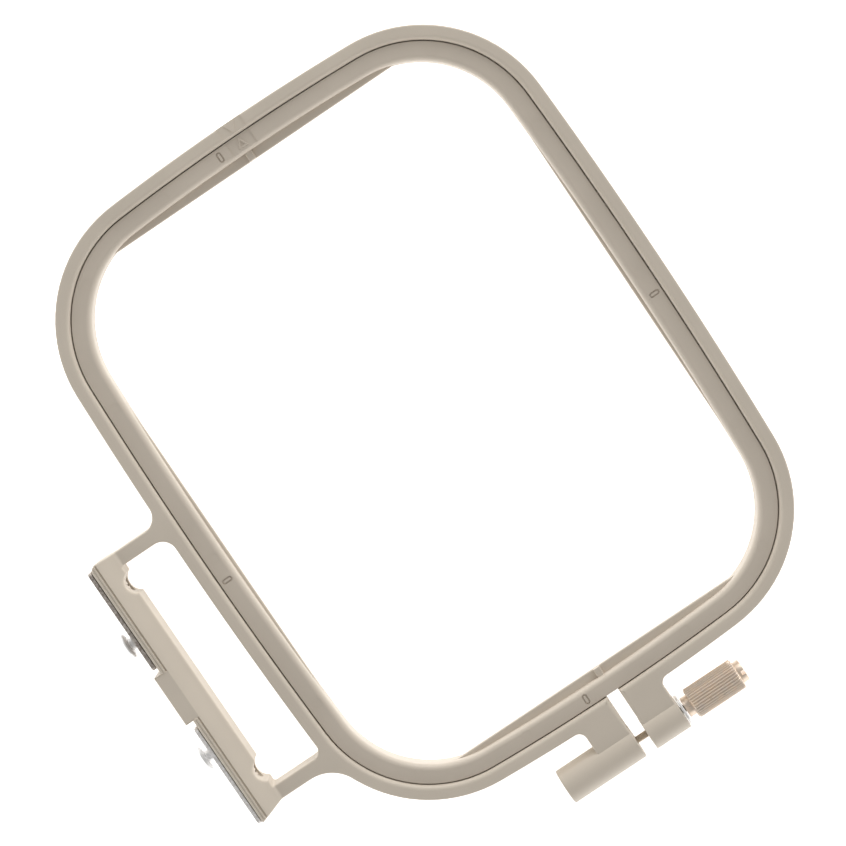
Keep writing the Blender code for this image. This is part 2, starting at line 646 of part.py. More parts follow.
def main():
    clear_scene()
    plastic = make_material("frame_plastic", (0.62, 0.56, 0.49), 0.42, 0.0)
    inner_plastic = make_material("inner_plastic", (0.60, 0.54, 0.47), 0.42, 0.0)
    steel = make_material("plate_steel", (0.42, 0.40, 0.38), 0.5, 1.0)
    zinc = make_material("stud_zinc", (0.82, 0.83, 0.84), 0.2, 1.0)
    nickel = make_material("knob_nickel", (0.70, 0.62, 0.52), 0.3, 1.0)
    screw_steel = make_material("screw_steel", (0.60, 0.60, 0.60), 0.35, 1.0)
    build_outer_frame(plastic)
    build_inner_frame(inner_plastic)
    for end in ("rear", "front"):
        build_plate(end, steel)
        build_stud(end, zinc)
        build_plate_screw(end, screw_steel)
    build_knob(nickel)
    build_shaft(screw_steel)
    build_washer(zinc)
    build_nut(nickel)

    root = bpy.data.objects.new("hoop_root", None)
    bpy.context.scene.collection.objects.link(root)
    for obj in bpy.context.scene.objects:
        if obj is not root:
            obj.parent = root
    left = STUD_HEAD_X[0]
    right = GAP_HALF_X + OUTER_WALL
    front = SCREW_Y - BARREL_R
    rear = GAP_HALF_Y + OUTER_WALL
    root.location = (-(left + right) / 2.0, -(front + rear) / 2.0, 0.0)


main()
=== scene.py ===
import math

import bmesh
import bpy
from mathutils import Matrix, Vector, noise
from mathutils.geometry import tessellate_polygon


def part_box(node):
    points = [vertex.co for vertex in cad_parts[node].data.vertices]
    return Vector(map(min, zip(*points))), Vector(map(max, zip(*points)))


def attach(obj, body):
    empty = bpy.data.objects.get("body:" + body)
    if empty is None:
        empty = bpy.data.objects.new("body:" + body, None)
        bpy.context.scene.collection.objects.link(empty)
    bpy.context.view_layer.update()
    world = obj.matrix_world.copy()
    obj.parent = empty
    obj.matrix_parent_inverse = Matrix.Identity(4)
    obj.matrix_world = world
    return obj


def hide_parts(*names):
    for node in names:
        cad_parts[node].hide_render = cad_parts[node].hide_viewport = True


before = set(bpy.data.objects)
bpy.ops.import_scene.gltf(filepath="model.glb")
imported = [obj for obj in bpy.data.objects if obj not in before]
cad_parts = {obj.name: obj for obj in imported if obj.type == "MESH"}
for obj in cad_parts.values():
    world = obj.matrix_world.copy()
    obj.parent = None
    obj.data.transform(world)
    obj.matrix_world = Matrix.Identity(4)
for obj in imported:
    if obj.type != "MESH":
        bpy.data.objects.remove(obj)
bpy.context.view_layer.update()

# Shapes are drawn around the centre of the two frames, X across and Y towards the arrows,
# and moved to CENTRE.
MM = 0.001
INNER_LOW, INNER_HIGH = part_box("inner_frame")
OUTER_LOW, OUTER_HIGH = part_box("outer_frame")
CENTRE = Vector(((INNER_LOW.x + INNER_HIGH.x) / 2.0, (INNER_LOW.y + INNER_HIGH.y) / 2.0, OUTER_LOW.z))

# The gap between the two frames: a rounded rectangle whose sides bow out
FIT_GAP = 0.2 * MM
GAP_HALF_X = (INNER_HIGH.x - INNER_LOW.x) / 2.0 + FIT_GAP
GAP_HALF_Y = (INNER_HIGH.y - INNER_LOW.y) / 2.0 + FIT_GAP
SIDE_BOW = 3.96 * MM
END_BOW = 5.1 * MM
CORNER_RADIUS = 45.9 * MM
WALL_STEPS = 14
CORNER_STEPS = 22

# Outer frame
OUTER_WALL = OUTER_HIGH.x - CENTRE.x - GAP_HALF_X
OUTER_TOP = 12.0 * MM
INNER_EDGE_ROUND = 1.8 * MM
OUTER_EDGE_ROUND = 0.7 * MM
FOOT_ROUND = 0.5 * MM
ROUND_STEPS = 6
SHARP_FOOT = 0.0001 * MM        # in place of a foot round, on what is joined into another body

# Inner frame
INNER_WALL = 7.5 * MM
SIDE_THICKER = 0.2 * MM         # than INNER_WALL, along the long sides
END_THINNER = 0.6 * MM          # than INNER_WALL, along the short ends
INNER_TOP = INNER_HIGH.z
INNER_FILLET = 2.3 * MM
GAP_EDGE_ROUND = 0.25 * MM
LIP_HALF_X = 86.3 * MM
LIP_HALF_Y = 109.8 * MM
LIP_Z = (3.5 * MM, 6.0 * MM)
LIP_ROUND = 0.5 * MM
RIB_WIDTH = 2.7 * MM
RIB_TOP = 7.6 * MM
RIB_ROUND = 0.4 * MM
RIB_SETBACK = 0.1 * MM          # from the lip's edge

# Moulded marks
PANEL_HALF = 5.0 * MM
PANEL_DEPTH = 0.3 * MM
PANEL_PAST_FLAT = 1.2 * MM      # how far the inner panel runs into the fillet
MARK_RAISE = 0.28 * MM
MARK_SINK = 0.2 * MM
MARK_ROUND = 0.12 * MM
ARROW_OUTER = (4.5 * MM, 4.2 * MM)
ARROW_OUTER_INSET = 0.5 * MM
ARROW_INNER = (3.9 * MM, 3.8 * MM)
ARROW_INNER_INSET = 0.4 * MM
ARROW_HOLLOW = 0.52             # of the inner arrow's size
FIELD_CENTRE = (-9.1 * MM, -9.1 * MM)
PILL = (2.0 * MM, 4.0 * MM)
PILL_FROM_GAP = 3.3 * MM
PILL_DEPTH = 0.5 * MM
PILL_GROOVE = 0.55 * MM
EJECTOR_R = 1.9 * MM
EJECTOR_DEPTH = 0.07 * MM
EJECTOR_FROM_GAP = 3.7 * MM
EJECTOR_X = 34.0 * MM           # on the ends
EJECTOR_Y = 64.0 * MM           # on the sides
EJECTOR_ANGLE = 0.9             # on the corners, in radians

# Bracket
SLOT_X = -120.2 * MM
BAR_OUTER_X = -129.7 * MM
RAMP_START_X = -119.0 * MM
RAMP_END_X = -127.0 * MM
RAMP_TOP = 16.6 * MM
STRIP_TOP = OUTER_HIGH.z
# (where each step of the strip ends, its height), outwards from the ramp
STRIP_STEPS = ((RAMP_END_X - 0.15 * MM, RAMP_TOP), (RAMP_END_X - 0.75 * MM, RAMP_TOP - 0.5 * MM),
               (RAMP_END_X - 1.45 * MM, STRIP_TOP), (RAMP_END_X - 1.7 * MM, STRIP_TOP - 0.25 * MM))
STEP_WALL = 0.08 * MM
RAMP_CUTS = 20
RAMP_SOFTNESS = 0.25            # share of the ramp's rise that is eased
RAMP_LEAD_IN = 0.18             # share of its length over which it starts
REAR_ARM = (16.1 * MM, 21.8 * MM)
FRONT_ARM = (-85.6 * MM, -80.1 * MM)
BAR_REAR_Y = 22.4 * MM
BAR_FRONT_Y = -88.3 * MM
BAR_REAR_CORNER = 2.75 * MM
ARM_FILLET_REAR = 6.0 * MM
ARM_FILLET_FRONT = 14.0 * MM
SLOT_FILLET_REAR = 5.5 * MM
SLOT_FILLET_FRONT = 3.2 * MM
SLOT_CORNER = 0.8 * MM
BLOCK_X = -132.8 * MM
BLOCK_Y = (-43.8 * MM, -23.4 * MM)
NOTCH_HALF = 4.4 * MM
NOTCH_DEPTH = 2.7 * MM
NOTCH_Y = {"rear": 9.0 * MM, "front": -72.8 * MM}
ENDS = ("rear", "front")

# Fixings
STUD_Z = 8.5 * MM
PLATE_SCREW_Z = 5.5 * MM
STUD_Y = {"rear": -9.2 * MM, "front": -58.2 * MM}
STUD_HOLE_D = 4.0 * MM
STUD_HOLE_DEPTH = 6.0 * MM
# (distance from the head's end, share of its radius), from the dome to the underside
STUD_HEAD = ((0.0, 0.30), (0.25 * MM, 0.62), (0.65 * MM, 0.86), (1.1 * MM, 1.0), (1.65 * MM, 1.0),
             (2.2 * MM, 0.72))
STUD_NECK_R = 2.3 * MM
STUD_TAIL_R = 1.7 * MM
STUD_SEAT_GAP = 0.3 * MM
STUD_ROUND = 0.2 * MM
SCREW_HEAD_HEIGHT = 1.8 * MM
SCREW_SHANK_R = 1.5 * MM
SCREW_TIP_R = 1.1 * MM
SCREW_TIP = 0.4 * MM
SCREW_ROUND = 0.25 * MM
DRIVER_SLOT_DEPTH = 0.7 * MM
DRIVER_SLOT_HALF = 0.4 * MM
CLEARANCE_D = 3.7 * MM
COUNTERBORE_D = 6.0 * MM
COUNTERBORE_X = -125.3 * MM
PLATE_CORNER = 1.5 * MM
PLATE_BORE = 4.2 * MM
PLATE_EDGE_ROUND = 0.2 * MM
PLATE_BACK_ROUND = 0.15 * MM
WALL_MARGIN = 1.0 * MM          # how far a cutter reaches past what it cuts
HOLE_SIDES = 40

# Clamp
LUG_X = 16.8 * MM
SPLIT_X = (-2.6 * MM, 2.5 * MM)
LUG_FILLET = 3.0 * MM
BARREL_R = 6.8 * MM
BARREL_X = -33.2 * MM
BARREL_ROUND = 0.4 * MM
BARREL_SIDES = 96
BOSS_STEP = 0.2 * MM
SCREW_Y = -140.1 * MM
SCREW_Z = BARREL_R
LUG_END_Y = SCREW_Y + 0.7 * MM
NUT_FLATS = 5.5 * MM
NUT_POCKET_END = -24.3 * MM
NUT_CLEARANCE = 0.6 * MM
NUT_CHAMFER = 1.04              # of the flats' radius, where the corners are turned off
NUT_EDGE = 0.05 * MM
METAL_BORE_R = 1.8 * MM         # of the knob, washer and nut
METAL_EDGE = 0.2 * MM
METAL_SIDES = 72
THREAD_PITCH = 0.5 * MM
THREAD_DEPTH = 0.28 * MM
THREAD_ROWS = 6                 # for each turn
THREAD_SIDES = 24
THREAD_TAPER = 0.4 * MM
COLLAR_R = 4.0 * MM
KNOB_BORE_END = 39.9 * MM
KNOB_END_R = 4.3 * MM
KNOB_END_ROUND = (0.4 * MM, 0.12 * MM)
COIN_SLOT_DEPTH = 1.6 * MM
COIN_SLOT_HALF = 0.8 * MM
KNURL_X = (21.2 * MM, 41.5 * MM)
KNURL_CHAMFER = 0.45 * MM
KNURL_TEETH = 36
KNURL_DEPTH = 0.5 * MM
KNURL_SIDES = KNURL_TEETH * 6
KNURL_ROWS = 14
KNURL_WANDER = 0.04 * MM

# Stage
CAMERA_DISTANCE = 0.892
CAMERA_AZIMUTH = math.radians(56.85)    # which way the camera leans from straight above, from +X towards +Y
CAMERA_TILT = math.radians(4.06)
PICTURE_UP = math.radians(56.06)        # plan direction that is up in the picture
CAMERA_LENS = 106.4
SENSOR = 36.0
AIM = Vector((-2.15 * MM, -1.43 * MM, 10.5 * MM))
FLOOR_SIZE = 6.0
FLOOR_Z = -0.2 * MM
FLOOR_GLOW = 1.0
SKY = (1.0, 0.985, 0.96)
SKY_TOP = 0.42                          # the room is darker overhead than round the table
SKY_HORIZON = 1.75
SKY_BAND = (0.10, 0.60)                 # sines of the elevations between which it darkens
KEY_AZIMUTH = math.radians(50.0)
KEY_ELEVATION = math.radians(19.0)
KEY_DISTANCE = 1.4
KEY_SIZE = 0.85
KEY_POWER = 6.0
KEY_COLOUR = (1.0, 0.98, 0.95)


# ---------------------------------------------------------------- outlines

def side_circle():
    """Centre and radius of the arc that the gap follows on the +X side."""
    radius = GAP_HALF_Y ** 2 / (2.0 * SIDE_BOW)
    return Vector((GAP_HALF_X - radius, 0.0)), radius


def end_circle():
    """Centre and radius of the arc that the gap follows on the +Y side."""
    radius = GAP_HALF_X ** 2 / (2.0 * END_BOW)
    return Vector((0.0, GAP_HALF_Y - radius)), radius


def corner_circle():
    """Centre and radius of the corner arc, tangent to the side's arc and the end's."""
    side, side_r = side_circle()
    end, end_r = end_circle()
    reach_side = side_r - CORNER_RADIUS
    reach_end = end_r - CORNER_RADIUS
    span = end - side
    along = (reach_side ** 2 - reach_end ** 2 + span.length_squared) / (2.0 * span.length)
    across = math.sqrt(reach_side ** 2 - along ** 2)
    direction = span.normalized()
    left = Vector((-direction.y, direction.x))
    foot = side + direction * along
    candidates = (foot + left * across, foot - left * across)
    return max(candidates, key=lambda point: point.x + point.y), CORNER_RADIUS


def arc(centre, radius, start, end, steps):
    """Points from angle start to angle end, both included."""
    angles = [start + (end - start) * i / steps for i in range(steps + 1)]
    return [centre + Vector((math.cos(a), math.sin(a))) * radius for a in angles]


def quadrant(offset):
    """The gap line moved outwards by offset, from the middle of the +X side to the middle of the +Y end."""
    side, side_r = side_circle()
    end, end_r = end_circle()
    corner, corner_r = corner_circle()
    from_side = corner - side
    from_end = corner - end
    side_angle = math.atan2(from_side.y, from_side.x)
    end_angle = math.atan2(from_end.y, from_end.x)
    points = arc(side, side_r + offset, 0.0, side_angle, WALL_STEPS)
    points += arc(corner, corner_r + offset, side_angle, end_angle, CORNER_STEPS)[1:]
    points += arc(end, end_r + offset, end_angle, math.pi / 2.0, WALL_STEPS)[1:]
    return points


def frame_outline(offset):
    """The whole offset line, anticlockwise from the middle of the -Y end, with no point twice."""
    first = quadrant(offset)
    lower_right = [Vector((p.x, -p.y)) for p in reversed(first)]
    upper_left = [Vector((-p.x, p.y)) for p in reversed(first)]
    lower_left = [Vector((-p.x, -p.y)) for p in first]
    return lower_right + first[1:] + upper_left[1:] + lower_left[1:-1]


def end_y(offset, x):
    """Where the offset line crosses x on the -Y end."""
    centre, radius = end_circle()
    return -(centre.y + math.sqrt((radius + offset) ** 2 - x ** 2))


def side_x(offset, y):
    """Where the offset line crosses y on the +X side."""
    centre, radius = side_circle()
    return centre.x + math.sqrt((radius + offset) ** 2 - y ** 2)


def wall_fillet(circle, arm_y, radius, side):
    """Rounds the corner between the outer frame's -X wall and an arm's edge at arm_y, from wall to arm."""
    centre, wall_r = circle
    mirrored = Vector((-centre.x, math.copysign(centre.y, arm_y)))
    y = arm_y + side * radius
    reach = wall_r + OUTER_WALL + radius
    x = mirrored.x - math.sqrt(reach ** 2 - (y - mirrored.y) ** 2)
    start = math.atan2(mirrored.y - y, mirrored.x - x)
    return arc(Vector((x, y)), radius, start, -side * math.pi / 2.0, CORNER_STEPS // 2)


def rounded_corner(before, corner, after, radius, steps=8):
    """Arc that replaces the corner of two straight edges."""
    before, corner, after = Vector(before), Vector(corner), Vector(after)
    to_before = (before - corner).normalized()
    to_after = (after - corner).normalized()
    half_angle = to_before.angle(to_after) / 2.0
    centre = corner + (to_before + to_after).normalized() * radius / math.sin(half_angle)
    reach = radius / math.tan(half_angle)
    first = corner + to_before * reach - centre
    last = corner + to_after * reach - centre
    start = math.atan2(first.y, first.x)
    turn = first.angle_signed(last)
    return arc(centre, radius, start, start - turn, steps)


def notch_arc(y):
    """Round bite out of the bar's inner edge, in +Y order."""
    radius = (NOTCH_HALF ** 2 + NOTCH_DEPTH ** 2) / (2.0 * NOTCH_DEPTH)
    half_angle = math.asin(NOTCH_HALF / radius)
    centre = Vector((SLOT_X - NOTCH_DEPTH + radius, y))
    return arc(centre, radius, math.pi + half_angle, math.pi - half_angle, CORNER_STEPS // 2)


def slot_outline():
    """Opening between the frame and the bracket's bar, clockwise."""
    rear = wall_fillet(side_circle(), REAR_ARM[0], SLOT_FILLET_REAR, -1)[::-1]
    front = wall_fillet(corner_circle(), FRONT_ARM[1], SLOT_FILLET_FRONT, 1)
    wall = [p for p in frame_outline(OUTER_WALL) if p.x < 0.0 and front[0].y < p.y < rear[-1].y]
    corner_front = Vector((SLOT_X, FRONT_ARM[1]))
    corner_rear = Vector((SLOT_X, REAR_ARM[0]))
    first_notch = notch_arc(NOTCH_Y["front"])
    second_notch = notch_arc(NOTCH_Y["rear"])
    bar = rounded_corner(front[-1], corner_front, first_notch[0], SLOT_CORNER, 4)
    bar += first_notch + second_notch
    bar += rounded_corner(second_notch[-1], corner_rear, rear[0], SLOT_CORNER, 4)
    return rear + wall + front + bar


def outer_outline():
    """Outer frame with its arms, bar and lugs as one anticlockwise loop, and the top radius of each point."""
    wall = frame_outline(OUTER_WALL)
    rear = wall_fillet(side_circle(), REAR_ARM[1], ARM_FILLET_REAR, 1)
    front = wall_fillet(corner_circle(), FRONT_ARM[0], ARM_FILLET_FRONT, -1)[::-1]
    lug_top = Vector((LUG_X, end_y(OUTER_WALL, LUG_X)))
    lug_end = Vector((LUG_X, LUG_END_Y))
    right_lug = [Vector((SPLIT_X[1], LUG_END_Y)), lug_end]
    around = [p for p in wall if p.x > LUG_X + LUG_FILLET or p.y > rear[0].y]
    right_fillet = rounded_corner(lug_end, lug_top, around[0], LUG_FILLET)
    bar_rear = Vector((BAR_OUTER_X, BAR_REAR_Y))
    bar_front = Vector((BAR_OUTER_X, BAR_FRONT_Y))
    bar = [Vector((SLOT_X, REAR_ARM[1]))]
    bar += rounded_corner(bar[0], bar_rear, bar_front, BAR_REAR_CORNER)
    bar += [Vector((BAR_OUTER_X, BLOCK_Y[1])), Vector((BLOCK_X, BLOCK_Y[1]))]
    bar += [Vector((BLOCK_X, BLOCK_Y[0])), Vector((BAR_OUTER_X, BLOCK_Y[0]))]
    bar += [bar_front, Vector((SLOT_X, FRONT_ARM[0]))]
    to_lug = [p for p in wall if p.x < -LUG_X - LUG_FILLET and p.y < front[-1].y]
    mirror_top = Vector((-LUG_X, lug_top.y))
    mirror_end = Vector((-LUG_X, LUG_END_Y))
    left_fillet = rounded_corner(to_lug[-1], mirror_top, mirror_end, LUG_FILLET)
    left_lug = [mirror_end, Vector((SPLIT_X[0], LUG_END_Y))]
    outside = right_lug + right_fillet + around + rear + bar + front + to_lug + left_fillet + left_lug
    gap_wall = frame_outline(FIT_GAP)[::-1]
    inside = [p for p in gap_wall if p.y > 0.0 or not SPLIT_X[0] < p.x < SPLIT_X[1]]
    inside = [Vector((SPLIT_X[0], end_y(FIT_GAP, SPLIT_X[0])))] + inside
    inside.append(Vector((SPLIT_X[1], end_y(FIT_GAP, SPLIT_X[1]))))
    rounds = [OUTER_EDGE_ROUND] * len(outside) + [INNER_EDGE_ROUND] * len(inside)
    return outside + inside, rounds


# ---------------------------------------------------------------- mesh building

def inset_directions(loop):
    """For each point, the way into the material that keeps both neighbouring edges parallel to themselves."""
    directions = []
    for i, point in enumerate(loop):
        back = (point - loop[i - 1]).normalized()
        ahead = (loop[(i + 1) % len(loop)] - point).normalized()
        left_back = Vector((-back.y, back.x))
        left_ahead = Vector((-ahead.y, ahead.x))
        directions.append((left_back + left_ahead) / (1.0 + left_back.dot(left_ahead)))
    return directions


def cap(mesh_data, loops):
    """Fill flat between the outer loop of vertices and its holes."""
    outlines = [[Vector((v.co.x, v.co.y, 0.0)) for v in loop] for loop in loops]
    verts = [v for loop in loops for v in loop]
    for triangle in tessellate_polygon(outlines):
        mesh_data.faces.new([verts[i] for i in triangle])


def add_wall(mesh_data, rows):
    """Quads between successive rows of vertices, each row a closed loop."""
    for lower, upper in zip(rows, rows[1:]):
        for i in range(len(lower)):
            j = (i + 1) % len(lower)
            mesh_data.faces.new((lower[i], lower[j], upper[j], upper[i]))


def rounded_solid(loops, z_range, top_rounds, foot_round, steps=ROUND_STEPS):
    """Prism on closed outlines with rounded top and bottom edges; top_rounds gives each point's radius."""
    mesh_data = bmesh.new()
    low, high = z_range
    bottoms = []
    tops = []
    for loop, rounds in zip(loops, top_rounds):
        inward = inset_directions(loop)
        rows = []
        for step in range(steps, -1, -1):
            angle = math.pi / 2.0 * step / steps
            row = []
            for point, way in zip(loop, inward):
                moved = point + way * foot_round * (1.0 - math.cos(angle))
                z = low + foot_round * (1.0 - math.sin(angle))
                row.append(mesh_data.verts.new((moved.x, moved.y, z)))
            rows.append(row)
        for step in range(steps + 1):
            angle = math.pi / 2.0 * step / steps
            row = []
            for point, way, radius in zip(loop, inward, rounds):
                moved = point + way * radius * (1.0 - math.cos(angle))
                z = high - radius * (1.0 - math.sin(angle))
                row.append(mesh_data.verts.new((moved.x, moved.y, z)))
            rows.append(row)
        add_wall(mesh_data, rows)
        bottoms.append(rows[0])
        tops.append(rows[-1])
    cap(mesh_data, bottoms)
    cap(mesh_data, tops)
    return mesh_data


def flat_solid(loop, z_range):
    """Sharp-edged prism on one outline."""
    mesh_data = bmesh.new()
    rows = [[mesh_data.verts.new((p.x, p.y, z)) for p in loop] for z in z_range]
    add_wall(mesh_data, rows)
    cap(mesh_data, rows[:1])
    cap(mesh_data, rows[1:])
    return mesh_data


def turned_solid(profile, sides, radius_change=None):
    """Body turned about the X axis from (x, radius) points; radius_change(index, angle) shapes it further."""
    mesh_data = bmesh.new()
    rows = []
    for index, (x, radius) in enumerate(profile):
        if radius == 0.0:
            rows.append([mesh_data.verts.new((x, 0.0, 0.0))])
            continue
        row = []
        for i in range(sides):
            angle = 2.0 * math.pi * (i + 0.5) / sides
            local = radius + (radius_change(index, angle) if radius_change else 0.0)
            row.append(mesh_data.verts.new((x, local * math.cos(angle), local * math.sin(angle))))
        rows.append(row)
    for lower, upper in zip(rows, rows[1:]):
        for i in range(sides):
            j = (i + 1) % sides
            corners = [lower[i % len(lower)], lower[j % len(lower)],
                       upper[j % len(upper)], upper[i % len(upper)]]
            mesh_data.faces.new(list(dict.fromkeys(corners)))
    return mesh_data


def tube_solid(profile, sides):
    """Ring turned about the X axis from a closed (x, radius) profile."""
    mesh_data = bmesh.new()
    rows = []
    for i in range(sides):
        angle = 2.0 * math.pi * i / sides
        rows.append([mesh_data.verts.new((x, r * math.cos(angle), r * math.sin(angle))) for x, r in profile])
    add_wall(mesh_data, rows + rows[:1])
    return mesh_data


def rounded_profile(points, radius, steps=3):
    """Open (x, r) profile with its inner corners rounded."""
    result = [points[0]]
    for before, corner, after in zip(points, points[1:], points[2:]):
        before, corner, after = Vector(before), Vector(corner), Vector(after)
        room = min((before - corner).length, (after - corner).length) / 2.0
        small = min(radius, room)
        result += [tuple(p) for p in rounded_corner(before, corner, after, small, steps)]
    result.append(points[-1])
    return result


def box_solid(x_range, y_range, z_range):
    corners = [Vector(c) for c in ((x_range[0], y_range[0]), (x_range[1], y_range[0]),
                                   (x_range[1], y_range[1]), (x_range[0], y_range[1]))]
    return flat_solid(corners, z_range)


def tidy(mesh_data):
    bmesh.ops.remove_doubles(mesh_data, verts=mesh_data.verts, dist=1e-6)
    bmesh.ops.dissolve_degenerate(mesh_data, edges=mesh_data.edges, dist=1e-6)
    bmesh.ops.recalc_face_normals(mesh_data, faces=mesh_data.faces)


def make_object(name, mesh_data, location=(0.0, 0.0, 0.0)):
    tidy(mesh_data)
    mesh_data.transform(Matrix.Translation(Vector(location)))
    mesh = bpy.data.meshes.new(name)
    mesh_data.to_mesh(mesh)
    mesh_data.free()
    obj = bpy.data.objects.new(name, mesh)
    bpy.context.scene.collection.objects.link(obj)
    return obj


def apply_boolean(target, helper, operation):
    """Cut or join helper into target and remove it."""
    modifier = target.modifiers.new(helper.name, "BOOLEAN")
    modifier.operation = operation
    modifier.solver = "EXACT"
    modifier.object = helper
    graph = bpy.context.evaluated_depsgraph_get()
    result = bpy.data.meshes.new_from_object(target.evaluated_get(graph))
    target.modifiers.clear()
    old = target.data
    target.data = result
    bpy.data.meshes.remove(old)
    bpy.data.objects.remove(helper, do_unlink=True)


def finish_piece(obj, material, body, node, sharp=35.0):
    """Move a piece from the design's centre to its place, shade it, and hand it to the frame."""
    obj.data.transform(Matrix.Translation(CENTRE))
    obj.data.materials.clear()
    obj.data.materials.append(material)
    obj.data.shade_smooth()
    obj.data.set_sharp_from_angle(angle=math.radians(sharp))
    weighted = obj.modifiers.new("weighted_normals", "WEIGHTED_NORMAL")
    weighted.keep_sharp = True
    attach(obj, body)
    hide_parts(node)
    return obj


def lying_cylinder(name, x_range, diameter, y, z, sides=64, edge=0.0):
    radius = diameter / 2.0
    profile = [(x_range[0], 0.0), (x_range[0], radius), (x_range[1], radius), (x_range[1], 0.0)]
    if edge:
        profile = rounded_profile(profile, edge)
    return make_object(name, turned_solid(profile, sides), (0.0, y, z))


# ---------------------------------------------------------------- outer frame

def smooth_step(t):
    t = max(0.0, min(1.0, t))
    return t * t * (3.0 - 2.0 * t)


def bracket_height(x, y):
    """Top of the moulding: level, then a ramp that starts and ends softly, then a strip with a groove.

    The strip is plain along the block."""
    if x >= RAMP_START_X:
        return OUTER_TOP
    if x > RAMP_END_X:
        t = (RAMP_START_X - x) / (RAMP_START_X - RAMP_END_X)
        eased = (1.0 - RAMP_SOFTNESS) * t + RAMP_SOFTNESS * smooth_step(t)
        lead_in = smooth_step(t / RAMP_LEAD_IN)
        return OUTER_TOP + (RAMP_TOP - OUTER_TOP) * eased * lead_in
    if BLOCK_Y[0] + 2.0 * STEP_WALL < y < BLOCK_Y[1] - 2.0 * STEP_WALL:
        return RAMP_TOP
    for start, height in STRIP_STEPS:
        if x > start:
            return height
    return STRIP_TOP


def raise_bracket(mesh_data):
    """Cut the bar along its creases and lift its top to bracket_height."""
    cuts = [((RAMP_START_X + (RAMP_END_X - RAMP_START_X) * i / RAMP_CUTS, 0.0, 0.0), (1.0, 0.0, 0.0))
            for i in range(RAMP_CUTS + 1)]
    for start, _ in STRIP_STEPS:
        cuts += [((start + side * STEP_WALL, 0.0, 0.0), (1.0, 0.0, 0.0)) for side in (1.0, -1.0)]
    for end, side in zip(BLOCK_Y, (1.0, -1.0)):
        cuts += [((0.0, end + side * inset, 0.0), (0.0, 1.0, 0.0)) for inset in (STEP_WALL, 3.0 * STEP_WALL)]
    for place, normal in cuts:
        geometry = mesh_data.verts[:] + mesh_data.edges[:] + mesh_data.faces[:]
        bmesh.ops.bisect_plane(mesh_data, geom=geometry, plane_co=place, plane_no=normal)
    for vert in mesh_data.verts:
        if vert.co.z > OUTER_TOP / 2.0:
            vert.co.z += bracket_height(vert.co.x, vert.co.y) - OUTER_TOP


def stepped_hole(end):
    """Cutter for a plate screw: clearance through the bar, and a counterbore open to the notch."""
    low_x = BAR_OUTER_X - WALL_MARGIN
    high_x = SLOT_X + WALL_MARGIN
    profile = [(low_x, 0.0), (low_x, CLEARANCE_D / 2.0), (COUNTERBORE_X, CLEARANCE_D / 2.0),
               (COUNTERBORE_X, COUNTERBORE_D / 2.0), (high_x, COUNTERBORE_D / 2.0), (high_x, 0.0)]
    place = (0.0, NOTCH_Y[end], PLATE_SCREW_Z)
    return make_object(f"{end}_screw_hole", turned_solid(profile, HOLE_SIDES), place)


def triangle(size, base_y, towards):
    """Three points of an arrow mark whose base is at base_y and whose tip points along towards (+1 or -1)."""
    width, height = size
    points = [Vector((-width / 2.0, base_y)), Vector((width / 2.0, base_y)),
              Vector((0.0, base_y + towards * height))]
    return points if towards > 0 else points[::-1]


def raised_mark(name, points, base_z, top_z):
    """Small raised prism with a softened top edge."""
    mesh_data = rounded_solid([points], (base_z, top_z), [[MARK_ROUND] * len(points)], SHARP_FOOT, 2)
    return make_object(name, mesh_data)


